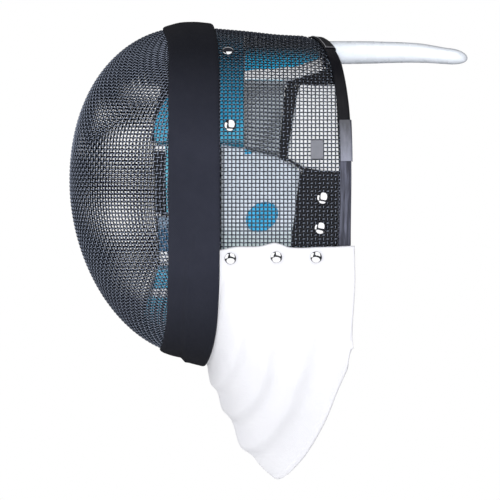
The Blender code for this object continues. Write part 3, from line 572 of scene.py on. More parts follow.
def dome_level(points):
    """Nought on the dome and below nought inside: two shares raised to the fullness, less one.

    The shares are the distance from the pole's axis over the outline's, and the depth ahead of the
    seam over the dome's. Behind the seam the second is nought, so the surface runs on as a tube.
    """
    x, y, z = points[..., 0], points[..., 1], points[..., 2]
    shares, outline_x, outline_z, _, _ = OUTLINE
    turns = np.arctan2(outline_x, outline_z - DOME_POLE_Z)
    turn = np.arctan2(np.abs(x), z - DOME_POLE_Z)
    radius = np.interp(turn, turns, np.hypot(outline_x, outline_z - DOME_POLE_Z))
    fullness = dome_fullness(np.interp(turn, turns, shares))
    across = np.hypot(x, z - DOME_POLE_Z) / radius
    ahead = np.clip((SEAM_Y - y) / DOME_DEPTH, 0.0, None)
    return across**fullness + ahead**fullness - 1.0


def unit(vectors):
    """Vectors scaled to a length of one."""
    size = np.linalg.norm(vectors, axis=-1, keepdims=True)
    return vectors / np.where(size > 0.0, size, 1.0)


def dome_normal(points, step=4e-4):
    """The outward normal: the slope of the level by steps each way along x, y and z."""
    steps = np.eye(3) * step
    slope = [dome_level(points + way) - dome_level(points - way) for way in steps]
    return unit(np.stack(slope, axis=-1))


# ================================================================ mesh tools
def fill_mesh(name, points, faces, corner_maps=()):
    """A mesh from arrays: points (n, 3), faces as arrays of equal corners, and a map for corners.

    Each map is (name, uv for every corner in the order of the faces).
    """
    mesh = bpy.data.meshes.new(name)
    corners = np.concatenate([np.asarray(f).reshape(-1) for f in faces]).astype(np.int32)
    totals = np.concatenate([np.full(len(f), np.shape(f)[1]) for f in faces]).astype(np.int32)
    starts = np.concatenate([[0], np.cumsum(totals)[:-1]]).astype(np.int32)
    mesh.vertices.add(len(points))
    mesh.vertices.foreach_set("co", np.asarray(points, np.float32).reshape(-1))
    mesh.loops.add(len(corners))
    mesh.loops.foreach_set("vertex_index", corners)
    mesh.polygons.add(len(totals))
    mesh.polygons.foreach_set("loop_start", starts)
    mesh.polygons.foreach_set("loop_total", totals)
    for label, uv in corner_maps:
        layer = mesh.uv_layers.new(name=label)
        layer.uv.foreach_set("vector", np.asarray(uv, np.float32).reshape(-1))
    mesh.update(calc_edges=True)
    mesh.validate()
    mesh.shade_smooth()
    return mesh


def cell_corners(grid):
    """The four corners of each cell of a grid, in their order round it: (cells, 4, ...)."""
    corners = [grid[:-1, :-1], grid[:-1, 1:], grid[1:, 1:], grid[1:, :-1]]
    return np.stack(corners, axis=2).reshape(-1, 4, *grid.shape[2:])


def cell_places(u, v):
    """The places of the cells' corners on a map, u and v over the grid."""
    return cell_corners(np.stack(np.broadcast_arrays(u, v), axis=-1))


def ring_numbers(rows, columns):
    """The point numbers of a grid of rings, with each ring's first point again at its end."""
    numbers = np.arange(rows * columns).reshape(rows, columns)
    return np.concatenate([numbers, numbers[:, :1]], axis=1)


def shell_mesh(name, points, quads, places):
    """A closed shell of quads with its cloth map, turned over if its volume is below nought."""
    a, b, c, d = (points[quads[:, k]] for k in range(4))
    if float(np.sum(np.cross(c - a, d - b) * (a + b + c + d))) < 0.0:
        quads, places = quads[:, ::-1], places[:, ::-1]
    return fill_mesh(name, points, [quads], [(CLOTH_MAP, places)])


def layered_mesh(name, outer, inner, u, v):
    """A closed piece between two grids whose borders are the same points."""
    rows, columns = outer.shape[:2]
    top = np.arange(rows * columns).reshape(rows, columns)
    under = top.copy()
    under[1:-1, 1:-1] = rows * columns + np.arange((rows - 2) * (columns - 2)).reshape(
        rows - 2, columns - 2
    )
    points = np.concatenate([outer.reshape(-1, 3), inner[1:-1, 1:-1].reshape(-1, 3)])
    quads = np.concatenate([cell_corners(top), cell_corners(under)[:, ::-1]])
    places = cell_places(u, v)
    return shell_mesh(name, points, quads, np.concatenate([places, places[:, ::-1]]))


def ring_mesh(name, rings, u, v):
    """A surface of rings, (rows, columns, 3), that ends in points. u and v have a column more."""
    quads = cell_corners(ring_numbers(*rings.shape[:2]))
    return shell_mesh(name, rings.reshape(-1, 3), quads, cell_places(u, v))


def swept_mesh(name, points, u, v, closed_path=False):
    """A closed outline carried along a path: rows are the path, columns go round the outline.

    An open path's ends are shut by quads between point i and its partner across the wall, the last
    but i. u and v run over one more column than the points, and one more row on a closed path.
    """
    rows, columns = points.shape[:2]
    numbers = ring_numbers(rows, columns)
    if closed_path:
        numbers = np.concatenate([numbers, numbers[:1]], axis=0)
    quads, places = cell_corners(numbers), cell_places(u, v)
    if not closed_path:
        first = np.arange(columns // 2 - 1)
        pairs = np.stack([first, first + 1, columns - 2 - first, columns - 1 - first], axis=-1)
        ends = np.concatenate([pairs[:, ::-1], pairs + (rows - 1) * columns])
        quads = np.concatenate([quads, ends])
        places = np.concatenate([places, np.zeros((len(ends), 4, 2))])
    return shell_mesh(name, points.reshape(-1, 3), quads, places)


def new_object(name, data):
    made = bpy.data.objects.new(name, data)
    bpy.context.scene.collection.objects.link(made)
    return made


def add_piece(name, mesh, finish, nodes=()):
    """Adds a finished mesh as a piece that rides on the mask and stands for its CAD nodes."""
    piece = new_object(name, mesh)
    mesh.materials.append(finish_of(finish))
    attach(piece, BODY)
    if nodes:
        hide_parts(*nodes)
    return piece


# ================================================================ wire cloth
RING_SIDES = 6
RING_REACH = 0.22  # of the pitch, from a crossing to the rings before and after it
NET_LEAN = 0.25  # of the pitch, how far the level wires lean over half the face
NET_UP, NET_DOWN, NET_ACROSS = 68, 72, 58  # crossings from the pole out
CRIMP = 0.485  # of the diameter: how far a wire rises over a crossing one
RING_TURNS = np.arange(RING_SIDES) * 2.0 * math.pi / RING_SIDES


def corner_places(corners):
    """The places of quads' corners on a map, from u and v for each of the four corners."""
    places = [np.stack(np.broadcast_arrays(*corner), axis=-1) for corner in corners]
    return np.stack(places, axis=2).reshape(-1, 2)


def wire_mesh(name, nodes, normals, over, shown, diameter, pitch):
    """Tubes along the rows of a grid of crossings, woven over and under.

    Each crossing has two rings, a short way before and after it, lifted by the crimp over (+1) or
    under (-1) the crossing wire. A ring leans by half the wire's slope between crossings, so that
    the tube keeps its thickness. nodes and normals are (wires, crossings, 3) and over is (wires,
    crossings). shown(points) says which rings are kept; the ends of each run are capped. The crest
    map holds a place's height, 0 in a trough and 1 on a crest, and how far it faces outwards; the
    finish paints a highlight from it. On the bake map each wire is a strip, its length across and
    its girth up.
    """
    crimp, radius = CRIMP * diameter, diameter / 2
    wires, crossings = nodes.shape[:2]
    ahead = np.diff(nodes, axis=1, append=2 * nodes[:, -1:] - nodes[:, -2:-1])
    behind = np.diff(nodes, axis=1, prepend=2 * nodes[:, :1] - nodes[:, 1:2])
    pairs = (wires, 2 * crossings)
    centres = np.stack([nodes - RING_REACH * behind, nodes + RING_REACH * ahead], axis=2)
    centres = centres.reshape(*pairs, 3)
    tangents = unit(np.stack([behind, ahead], axis=2).reshape(*pairs, 3))
    up = np.repeat(normals, 2, axis=1)
    rise = np.repeat(over, 2, axis=1)[..., None]
    lean = (over[..., None] * np.array([1.0, -1.0])).reshape(pairs)[..., None]
    half_slope = 0.5 * math.atan(2 * crimp / ((1.0 - 2 * RING_REACH) * pitch))
    side = unit(np.cross(up, tangents))
    leaning = up * math.cos(half_slope) - tangents * lean * math.sin(half_slope)
    middles = centres + up * (rise * crimp - MESH_WALL / 2)
    kept = np.isfinite(middles).all(axis=-1) & shown(centres)
    number = np.flatnonzero(kept)
    owner, place = number // pairs[1], number % pairs[1]
    middles, side, leaning = (a.reshape(-1, 3)[number] for a in (middles, side, leaning))
    cosines, sines = np.cos(RING_TURNS)[None, :, None], np.sin(RING_TURNS)[None, :, None]
    rings = middles[:, None] + radius * (cosines * side[:, None] + sines * leaning[:, None])

    joined = (owner[1:] == owner[:-1]) & (place[1:] == place[:-1] + 1)
    first = np.flatnonzero(joined)[:, None]
    around = np.arange(RING_SIDES)[None, :]
    following = (around + 1) % RING_SIDES
    corners = ((first, around), (first, following), (first + 1, following), (first + 1, around))
    quads = np.stack([ring * RING_SIDES + turn for ring, turn in corners], axis=-1)
    begins = np.flatnonzero(np.concatenate([[True], ~joined]))[:, None]
    ends = np.flatnonzero(np.concatenate([~joined, [True]]))[:, None]
    caps = np.concatenate([begins * RING_SIDES + around[:, ::-1], ends * RING_SIDES + around])

    u0, u1 = place[first] / pairs[1], (place[first] + 1) / pairs[1]
    base, strip = (owner[first] + 0.05) / wires, 0.9 / wires
    v0, v1 = (base + strip * turn / RING_SIDES for turn in (around, around + 1))
    bake = corner_places([(u0, v0), (u0, v1), (u1, v1), (u1, v0)])
    # painted highlight: the crest map, from a place's height and how far it faces outwards
    height = (0.5 + 0.5 * rise).reshape(-1)[number]
    facing = 0.5 + 0.5 * np.sin(RING_TURNS)
    crest_highlight_places = corner_places([(height[ring], facing[turn]) for ring, turn in corners])
    on_caps = np.zeros((caps.size, 2))
    maps = [
        (label, np.concatenate([uv, on_caps]))
        for label, uv in ((BAKE_MAP, bake), (CREST_HIGHLIGHT_MAP, crest_highlight_places))
    ]
    return fill_mesh(name, rings.reshape(-1, 3), [quads.reshape(-1, 4), caps], maps)


def add_wires(names, nodes, normals, lead, shown, diameter, pitch, finish, replaced):
    """The two sets of wires over one grid of crossings, the first along its rows.

    Crossings go over and under in turn along both ways. lead is 1 if the first set begins over.
    """
    i, j = np.indices(nodes.shape[:2])
    over = lead * np.where((i + j) % 2 == 0, 1.0, -1.0)
    sets = ((nodes, normals, over), (nodes.swapaxes(0, 1), normals.swapaxes(0, 1), -over.T))
    meshes = [wire_mesh(name, *ways, shown, diameter, pitch) for name, ways in zip(names, sets)]
    for name, mesh, stands_for in zip(names, meshes, ([replaced], [])):
        add_piece(name, mesh, finish, stands_for)


def meridian_nodes(girth, count, pitch):
    """Crossings a pitch apart along the dome's line at a girth, from the pole outwards."""
    line = dome_meridian(girth)
    length = np.concatenate([[0.0], np.cumsum(np.linalg.norm(np.diff(line, axis=0), axis=1))])
    at = pitch * np.arange(count)
    return np.stack([np.interp(at, length, line[:, k]) for k in range(3)], axis=-1)


def next_node(first, second, corner, pitch):
    """The point on the dome a pitch from both of two nodes, away from the corner between them.

    Points a pitch from both lie on a circle round the line between them; the turn on it starts in
    line with the corner and is corrected by the slope of the dome's level.
    """
    middle = (first + second) / 2
    half = np.linalg.norm(second - first, axis=-1, keepdims=True) / 2
    across = unit(second - first)
    outward = unit(middle - corner)
    third = np.cross(across, outward)
    reach = np.sqrt(np.clip(pitch**2 - half**2, 0.0, None))

    def at(turn):
        turn = turn[:, None]
        return middle + reach * (np.cos(turn) * outward + np.sin(turn) * third)

    turn, step = np.zeros(len(first)), 1e-3
    for _ in range(7):
        slope = (dome_level(at(turn + step)) - dome_level(at(turn - step))) / (2 * step)
        turn = turn - np.clip(dome_level(at(turn)) / slope, -0.3, 0.3)
    return at(turn)


def net_quarter(across_axis, up_axis, pitch):
    """A quarter of the dome's net, each node a pitch from its two neighbours nearer the pole.

    This is how a square wire cloth lies on a dome: its wires keep their spacing and shear.
    """
    nodes = np.full((len(across_axis), len(up_axis), 3), np.nan)
    nodes[:, 0], nodes[0, :] = across_axis, up_axis
    for diagonal in range(2, sum(nodes.shape[:2]) - 1):
        i = np.arange(max(1, diagonal - nodes.shape[1] + 1), min(diagonal, nodes.shape[0]))
        j = diagonal - i
        nodes[i, j] = next_node(nodes[i - 1, j], nodes[i, j - 1], nodes[i - 1, j - 1], pitch)
    return nodes


def dome_net(pitch):
    """All the crossings of the face's wire cloth, (wires across, wires up, 3).

    The level wires lean a little: lower on the left, higher on the right.
    """
    up, down = meridian_nodes(0.0, NET_UP, pitch), meridian_nodes(1.0, NET_DOWN, pitch)
    halves = []
    for _, sign in SIDES:
        girth = girth_at(DOME_POLE_Z) + sign * NET_LEAN * pitch / GIRTH_LENGTH
        across = meridian_nodes(girth, NET_ACROSS, pitch)
        upper, lower = net_quarter(across, up, pitch), net_quarter(across, down, pitch)
        halves.append(np.concatenate([lower[:, :0:-1], upper], axis=1))
    left, right = halves
    return np.concatenate([right[:0:-1] * np.array([-1.0, 1.0, 1.0]), left], axis=0)


def build_face_wires(wire):
    """The face's bowl: upright and level wires over one net."""
    def shown(points):
        return points[..., 1] < SEAM_Y - GAP

    with np.errstate(invalid="ignore", divide="ignore"):
        nodes = dome_net(wire.pitch)
        add_wires(
            ("face_wires_upright", "face_wires_level"), nodes, dome_normal(nodes), 1.0, shown,
            wire.face_diameter, wire.pitch, "wire", "front_mesh",
        )


def build_side_wires(wire):
    """The sheet over crown and sides: hoops at even depths, long wires at even girths."""
    rear_most = max(row[1] for row in RIM_EDGE) - RIM_WALL - GAP
    depths = np.arange(SEAM_Y + GAP + wire.diameter / 2, rear_most, wire.pitch)
    reach = int(SIDE_MESH_GIRTH * GIRTH_LENGTH / wire.pitch)
    girths = np.arange(-reach, reach + 1) * wire.pitch / GIRTH_LENGTH
    nodes = form(girths[:, None], depths[None, :])
    normals = unit(np.cross(np.gradient(nodes, axis=0), np.gradient(nodes, axis=1)))

    def shown(points):
        """Over the crown the girth is read from x, because the crown has fallen."""
        share = np.clip(np.abs(points[..., 0]) / CROWN_RADIUS, 0.0, 1.0)
        over = points[..., 2] > CROWN_CENTRE_Z
        girth = np.where(
            over, CROWN_RADIUS * np.arcsin(share) / GIRTH_LENGTH, girth_at(points[..., 2])
        )
        return points[..., 1] < smooth_table(RIM_EDGE, girth) - RIM_WALL - GAP

    add_wires(
        ("side_wires_hoop", "side_wires_long"), nodes.swapaxes(0, 1), normals.swapaxes(0, 1),
        -1.0, shown, wire.diameter, wire.pitch, "side_wire", "side_mesh",
    )


# ================================================================ bands
def bib_front_at(girth):
    """The depth of the bib's tucked front edge at a girth below the jaw."""
    rows = np.array(BIB_TOP)[2::-1]
    return smooth_table(rows[:, 1:], np.abs(girth))


def bib_lift(girth, y):
    """Lift of the bib's outer face where it lies on the mask."""
    girth, y = np.broadcast_arrays(np.abs(girth), y)
    top = bib_front_at(girth)
    slope = BIB_SLOPE * ramp(girth, BIB_SLOPE_GIRTH)
    over_rim = BIB_OVER_RIM * ramp(y, BIB_OVER_RIM_Y)
    return GAP + BIB_WALL + slope * np.clip(y - top, 0.0, BIB_SLOPE_REACH) + over_rim


def shares_with_round_ends(length, radius, middle, corner=6):
    """Shares from 0 to 1 along an edge, close together where both ends are rounded."""
    turn = np.linspace(0.0, math.pi / 2, corner)
    start = min(radius / length, 0.5) * (1.0 - np.cos(turn))
    inside = np.linspace(start[-1], 1.0 - start[-1], middle + 2)[1:-1]
    return np.concatenate([start, inside, 1.0 - start[::-1]])


def roundness(shares, length, radius):
    """How full a wall is at each share: a quarter circle up from each end, 1 between."""
    from_end = np.minimum(shares, 1.0 - shares) * length / radius
    return np.sqrt(1.0 - (1.0 - np.clip(from_end, 0.0, 1.0)) ** 2)


def ripple(a, b, seed, scale_a, scale_b, waves=6):
    """A smooth uneven surface between -1 and 1: sines of several lengths and ways, summed."""
    draw = np.random.default_rng(seed)
    total = 0.0
    for _ in range(waves):
        ways = draw.uniform(0.5, 1.5, 2) * draw.choice([-1.0, 1.0], 2)
        phase = draw.uniform(0.0, 2 * math.pi)
        total = total + np.sin(a * scale_a * ways[0] + b * scale_b * ways[1] + phase)
    return total / waves


def build_trim():
    """The padded tape over the seam: a closed ring whose section has a flat inner face, a stepped
    place over the bib's edge, straight low edges and rounded shoulders."""
    stations = 480
    girth = np.linspace(-1.0, 1.0, stations, endpoint=False)[:, None]
    at = np.abs(girth)
    wave = 0.0003 * ripple(girth, 0.0, 11, 38.0, 0.0)
    front = smooth_table(TRIM_EDGES, at, 1) + wave
    rear = smooth_table(TRIM_EDGES, at, 2) + 0.0002 * ripple(girth, 0.0, 12, 44.0, 0.0)
    tuck = ramp(at, TRIM_TUCK_GIRTH)
    bib_edge = bib_front_at(at)
    width = float(np.mean(rear - front))
    share = shares_with_round_ends(width, TRIM_ROUND, 22, 9)[None, :]
    y = front + (rear - front) * share
    full = roundness(share, width, TRIM_ROUND)

    def lift_of(depth, low, high):
        step = ramp(depth, (bib_edge - low, bib_edge - high))
        return step, GAP + step * tuck * bib_lift(at, depth)

    _, inner = lift_of(y, *TRIM_STEP)
    low, high = (a + b for a, b in zip(TRIM_STEP, TRIM_STEP_OUTSIDE))
    step, outer = lift_of(y, low, high)
    over_bib = TRIM_PROUD + (TRIM_PROUD_OVER_BIB - TRIM_PROUD) * tuck
    ahead = TRIM_PROUD + (TRIM_PROUD_AHEAD - TRIM_PROUD) * ramp(at, TRIM_AHEAD_GIRTH)
    proud = ahead + (over_bib - ahead) * step - GAP
    proud = proud + 0.00012 * ripple(girth, y, 13, 60.0, 260.0)
    pressed = (1.0 - ramp(at, TRIM_PRESSED_GIRTH)) * (1.0 - ramp(y - front, TRIM_PRESSED_REACH))
    proud = proud * (1.0 - TRIM_PRESSED * pressed)
    outer = outer + proud * (TRIM_EDGE_SHARE + (1.0 - TRIM_EDGE_SHARE) * full)
    ring_y = np.concatenate([y, y[:, ::-1]], axis=1)
    lift = np.concatenate([outer, inner[:, ::-1]], axis=1)
    points = form(girth, ring_y, lift)
    u = np.linspace(-1.0, 1.0, stations + 1)[:, None] * GIRTH_LENGTH
    across = np.concatenate([share, 2.0 - share[:, ::-1]], axis=1)[0] * width
    v = np.append(across, 2.0 * width + 0.004)[None, :]
    mesh = swept_mesh("trim_tape", points, u, v, closed_path=True)
    add_piece("trim_tape", mesh, "tape", ["trim_band"])


def wall_outline(y, lift, half, round_points=4):
    """The closed outline of a wall of even thickness along a path in depth and lift.

    Both faces stand half a wall off the path, along its normal, and half circles close the ends.
    The outline starts at the middle of the first end, so point i faces the last but i.
    """
    slope_y, slope_lift = np.gradient(y, axis=-1), np.gradient(lift, axis=-1)
    size = np.hypot(slope_y, slope_lift)
    along_y, along_lift = slope_y / size, slope_lift / size
    normal_y, normal_lift = -along_lift, along_y

    def end(k, sign):
        turn = sign * np.linspace(math.pi / 2, -math.pi / 2, round_points + 2)[1:-1]
        out, aside = sign * np.cos(turn), sign * np.sin(turn) * sign
        return (
            y[..., k, None] + half * (out * along_y[..., k, None] + aside * normal_y[..., k, None]),
            lift[..., k, None]
            + half * (out * along_lift[..., k, None] + aside * normal_lift[..., k, None]),
        )

    last, first = end(-1, 1.0), end(0, -1.0)
    cut = round_points // 2
    outline = []
    for k, (path, normal) in enumerate(((y, normal_y), (lift, normal_lift))):
        face, back = path + half * normal, path - half * normal
        outline.append(
            np.concatenate(
                [first[k][..., cut:], face, last[k], back[..., ::-1], first[k][..., :cut]], axis=-1
            )
        )
    return outline


def bent_path(points, bends, bend_samples=9, straight_samples=8):
    """A path through corners, each corner but the ends rounded to a bend: (rows, samples, 2).

    points is a list of (y, lift), each a column over the rows; bends has a radius per corner.
    """
    points = [np.stack(np.broadcast_arrays(*p), axis=-1)[:, 0] for p in points]
    pieces = [points[0][:, None]]
    start = points[0]
    for before, corner, after, radius in zip(points, points[1:], points[2:], bends):
        arrive, leave = unit(corner - before), unit(after - corner)
        begin, finish = corner - arrive * radius, corner + leave * radius
        share = np.linspace(0.0, 1.0, straight_samples)[None, 1:, None]
        pieces.append(start[:, None] + (begin - start)[:, None] * share)
        turn = np.linspace(0.0, math.pi / 2, bend_samples)[None, 1:, None]
        centre = corner - arrive * radius + leave * radius
        pieces.append(
            centre[:, None]
            - leave[:, None] * radius * np.cos(turn)
            + arrive[:, None] * radius * np.sin(turn)
        )
        start = finish
    share = np.linspace(0.0, 1.0, straight_samples)[None, 1:, None]
    pieces.append(start[:, None] + (points[-1] - start)[:, None] * share)
    path = np.concatenate(pieces, axis=1)
    return path[..., 0], path[..., 1]


def binding_mesh(name, girth, path, half, swell=0.0):
    """A folded strip of binding: a wall outline carried round the rear edge of the form."""
    y, lift = path
    lift = lift + swell
    ring_y, ring_lift = wall_outline(y, lift, half)
    points = form(girth, ring_y, ring_lift)
    steps = np.hypot(np.diff(ring_y, axis=1), np.diff(ring_lift, axis=1)).mean(axis=0)
    v = np.concatenate([[0.0], np.cumsum(steps), [steps.sum() + half]])[None, :]
    return swept_mesh(name, points, girth * GIRTH_LENGTH, v)


def rim_edges(girth):
    """The depths of the rim's front and rear edges at a girth."""
    rear = smooth_table(RIM_EDGE, np.abs(girth), 1)
    return rear - smooth_table(RIM_EDGE, np.abs(girth), 2), rear


def build_rim():
    """The channel binding of the side mesh's rear edge, creased lengthwise on its lower run."""
    girth = np.linspace(-SIDE_MESH_GIRTH, SIDE_MESH_GIRTH, 420)[:, None]
    front, rear = rim_edges(girth)
    half = RIM_WALL / 2
    outside, inside = GAP + half, -MESH_WALL - GAP - half
    bend = (outside - inside) / 2 * 0.98
    corners = [
        (front + half, outside), (rear - half, outside), (rear - half, inside),
        (front + half, inside),
    ]
    y, lift = bent_path(corners, (bend, bend), straight_samples=14)
    from_front = np.arange(y.shape[1])[None, :] / 13.0
    on_face = smooth_step(from_front * 3.0) * smooth_step((1.15 - from_front) * 4.0)
    creased = ramp(np.abs(girth), RIM_CREASE_GIRTH) * on_face
    crease = np.abs(ripple(girth, y, 21, 7.0, 2300.0, 7)) ** 0.7
    mesh = binding_mesh("rear_binding", girth, (y, lift), half, RIM_CREASE * creased * crease)
    piece = add_piece("rear_binding", mesh, "binding", ["rear_rim"])


def cover_path(girth):
    """The fold of a second layer of binding: over the rim's outside and down its rear.

    At the crown it reaches past the rim's front edge, where it is pressed down on the mesh.
    """
    at = np.abs(girth)
    front, rear = rim_edges(girth)
    half = COVER_WALL / 2
    above = GAP + RIM_WALL + COVER_GAP + half
    hem = -MESH_WALL - GAP - RIM_WALL
    over_crown = at < SLEEVE_GIRTH[0]
    edge = np.where(over_crown, smooth_table(COVER_FRONT, at), front + COVER_SET_BACK)
    corners = [(edge, above), (rear + GAP + half, above), (rear + GAP + half, hem)]
    y, lift = bent_path(corners, (COVER_BEND,), straight_samples=10)
    pressed = COVER_PRESSED * ramp(front - y, COVER_PRESSED_REACH)
    return y, lift - np.where(over_crown, pressed, 0.0)


def build_covers():
    """The crown's second layer with its pale edge thread, and the glossy sleeve on each side."""
    half = COVER_WALL / 2
    girth = np.linspace(-CROWN_COVER_GIRTH, CROWN_COVER_GIRTH, 120)[:, None]
    path = cover_path(girth)
    mesh = binding_mesh("crown_binding", girth, path, half)
    piece = add_piece("crown_binding", mesh, "crown_binding", ["rim_cover_crown"])
    front_y, front_lift = (part[:, 0] for part in path)
    thread = form(girth[:, 0], front_y - 0.0001, front_lift + 0.0002)
    mesh = cord_mesh("crown_edge_thread", thread, THREAD_RADIUS, 6)
    add_piece("crown_edge_thread", mesh, "edge_thread")
    for side, sign in SIDES:
        girth = sign * np.linspace(*SLEEVE_GIRTH, 90)[:, None]
        y, lift = cover_path(girth)
        uneven = 0.00012 * ripple(girth, y, 23, 150.0, 900.0)
        name = f"binding_sleeve_{side}"
        mesh = binding_mesh(name, girth, (y, lift), half, uneven)
        piece = add_piece(name, mesh, "sleeve", [f"rim_sleeve_{side}"])


def cord_mesh(name, line, radius, sides=8):
    """A round tube along a line of points, closed by a point at each end.

    Each ring stands across the line's tangent, turned from a fixed way so that it never twists.
    """
    tangent = unit(np.gradient(line, axis=0))
    guide = np.array([0.0, 1.0, 0.0]) if abs(tangent[:, 1]).max() < 0.9 else np.array([1.0, 0, 0])
    side = unit(np.cross(tangent, guide))
    up = np.cross(tangent, side)
    turn = np.linspace(0.0, 2 * math.pi, sides, endpoint=False)[None, :, None]
    size = np.full(len(line), radius)
    size[0] = size[-1] = 0.0
    size = size[:, None, None]
    rings = line[:, None] + size * (np.cos(turn) * side[:, None] + np.sin(turn) * up[:, None])
    length = np.linspace(0.0, float(np.linalg.norm(np.diff(line, axis=0), axis=1).sum()), len(line))
    round_it = np.linspace(0.0, 2 * math.pi * radius, sides + 1)
    return ring_mesh(name, rings, length[:, None], round_it[None, :])


# ================================================================ bib
def bib_face(across, share_down, collar_rows):
    """The bib's outer face: a collar that lies on the mask, then a hanging part down to the hem.

    The hanging part is a cubic from the collar to the free edge, which starts down the mask's
    side, or down and back at the chin, and ends curling to the rear at the tip.
    """
    side = np.where(across < 0.0, -1.0, 1.0)
    at = np.abs(across)
    top_girth, top_y = eased_table(BIB_TOP, at, 1), eased_table(BIB_TOP, at, 2)
    low_girth, low_y = eased_table(BIB_COLLAR, at, 1), eased_table(BIB_COLLAR, at, 2)
    top_girth = top_girth + ramp(at, BIB_DIP_ACROSS) * (
        smooth_table(BIB_TOP_DIP, top_y) / GIRTH_LENGTH
    )
    share = np.linspace(0.0, 1.0, collar_rows)[:, None]
    girth = top_girth + (low_girth - top_girth) * share
    y = top_y + (low_y - top_y) * share
    collar = form(side * girth, y, bib_lift(girth, y))
    start = collar[-1]
    edge_x = eased_table(BIB_FREE_EDGE, at, 1)
    edge_y, edge_z = (smooth_table(BIB_FREE_EDGE, at, column) for column in (2, 3))
    end = np.stack([side * edge_x, edge_y, edge_z], axis=-1)
    reach = np.linalg.norm(end - start, axis=-1, keepdims=True)
    at_side = ramp(at, BIB_CHIN)[:, None]
    leaving = np.array(BIB_LEAVING_CHIN) * (1.0 - at_side) + np.array(BIB_LEAVING_SIDE) * at_side
    curl = (1.0 - smooth_step(at / BIB_CURL_ACROSS))[:, None]
    arriving = (end - start) / reach * (1.0 - curl) + np.array(BIB_CURL) * curl
    hanging = cubic(share_down[1:, None, None], start, end, leaving, arriving, reach)
    return np.concatenate([collar, hanging], axis=0)


def grid_normals(points, inside):
    """Normals of a grid by the cross product of its slopes, turned away from a point inside.

    They are averaged with their neighbours a few times, which steadies them at sharp corners.
    """
    normal = unit(np.cross(np.gradient(points, axis=1), np.gradient(points, axis=0)))
    outward = np.sign(np.sum(normal * (points - np.array(inside))))
    for _ in range(4):
        for axis in (0, 1):
            padded = np.concatenate(
                [normal.take([0], axis), normal, normal.take([-1], axis)], axis=axis
            )
            count = normal.shape[axis]
            before, after = padded.take(range(count), axis), padded.take(range(2, count + 2), axis)
            normal = unit(before + normal + after)
    return outward * normal


def bib_swell(down, across, strength):
    """How far the folds stand out: each swells downwards and drops away sharply along its line,
    and runs out towards the side; finer creases follow them."""
    at = np.abs(across)[None, :]
    place_down = down[:, None]
    swell = 0.0
    for depth, above, below, runs_out, line in BIB_FOLDS:
        offset = place_down - smooth_table(line, at)
        width = np.where(offset < 0.0, above, below)
        swell = swell + depth * (1.0 - ramp(at, runs_out)) * np.exp(-((offset / width) ** 2))
    creases = BIB_CREASES * ripple(place_down, at, 31, 26.0, 9.0) * (1.2 - ramp(at, (0.3, 0.9)))
    begin = smooth_step(place_down / FOLD_START)
    return strength * (swell + creases) * begin


def build_bib(settings):
    """The padded throat bib with its folds, sewn hem and hollows at the rivets."""
    collar_rows = 16
    edge = shares_with_round_ends(BIB_SPAN, BIB_WALL, BIB_COLUMNS, 6)
    across = edge * 2.0 - 1.0
    down = np.linspace(0.0, 1.0, BIB_ROWS)
    face = bib_face(across, down, collar_rows)
    rows, columns = face.shape[:2]
    place_down = np.clip((np.arange(rows) - collar_rows + 1) / (rows - collar_rows), 0.0, 1.0)
    normal = grid_normals(face, BIB_INSIDE)
    face = face + normal * bib_swell(place_down, across, settings.fold_strength)[..., None]
    for _, y, z, outside, _, _ in RIVETS:
        if outside > 0.0:
            for _, sign in SIDES:
                centre = form(sign * girth_at(z), y, outside)
                near = np.linalg.norm(face - centre, axis=-1) / BIB_DIMPLE[1]
                face = face - normal * (BIB_DIMPLE[0] * np.exp(-(near**2)))[..., None]
    normal = grid_normals(face, BIB_INSIDE)

    row_length = np.linalg.norm(np.diff(face, axis=0), axis=-1)
    v = np.concatenate([np.zeros((1, columns)), np.cumsum(row_length, axis=0)])
    column_length = np.linalg.norm(np.diff(face, axis=1), axis=-1)
    u = np.concatenate([np.zeros((rows, 1)), np.cumsum(column_length, axis=1)], axis=1)
    u = u - u[:, -1:] / 2
    to_free = v[-1:] - v
    to_side = (np.abs(u[:, :1]) - np.abs(u)) * np.ones_like(v)
    to_edge = np.minimum(to_free, to_side)
    hem = BIB_HEM_PROUD * (1.0 - ramp(to_edge, (BIB_HEM, BIB_HEM + 0.0012)))
    groove = BIB_GROOVE[0] * np.exp(-(((to_edge - BIB_HEM) / BIB_GROOVE[1]) ** 2))
    to_border = np.minimum(to_edge, v)
    radius = BIB_WALL / 2
    full = np.sqrt(1.0 - (1.0 - np.clip(to_border / radius, 0.0, 1.0)) ** 2)
    middle = face - normal * radius
    raised = normal * (full * (radius + hem - groove))[..., None]
    mesh = layered_mesh("throat_bib", middle + raised, middle - raised, u, v)
    piece = add_piece("throat_bib", mesh, "bib", ["bib"])


# ================================================================ tongue
def build_spring():
    """A steel strip arched across like the crown that it leaves, its edges rounded."""
    path = np.array(SPRING_PATH)
    length, wide, half = path[-1, 0] - path[0, 0], 2 * SPRING_HALF_WIDTH, SPRING_WALL / 2
    along = shares_with_round_ends(length, SPRING_WALL, 60, 4)
    over = shares_with_round_ends(wide, half, 10, 4)
    y = (path[0, 0] + length * along)[:, None]
    x = (SPRING_HALF_WIDTH * (2.0 * over - 1.0))[None, :]
    middle = smooth_table(SPRING_PATH, y) - half - x**2 / (2 * CROWN_RADIUS)
    full = roundness(along, length, SPRING_WALL)[:, None] * roundness(over, wide, half)[None, :]
    x, y, middle = np.broadcast_arrays(x, y, middle)
    outer, inner = (np.stack([x, y, middle + way * full], axis=-1) for way in (half, -half))
    mesh = layered_mesh("tongue_steel", outer, inner, x, y)
    add_piece("tongue_steel", mesh, "steel", ["tongue_spring"])


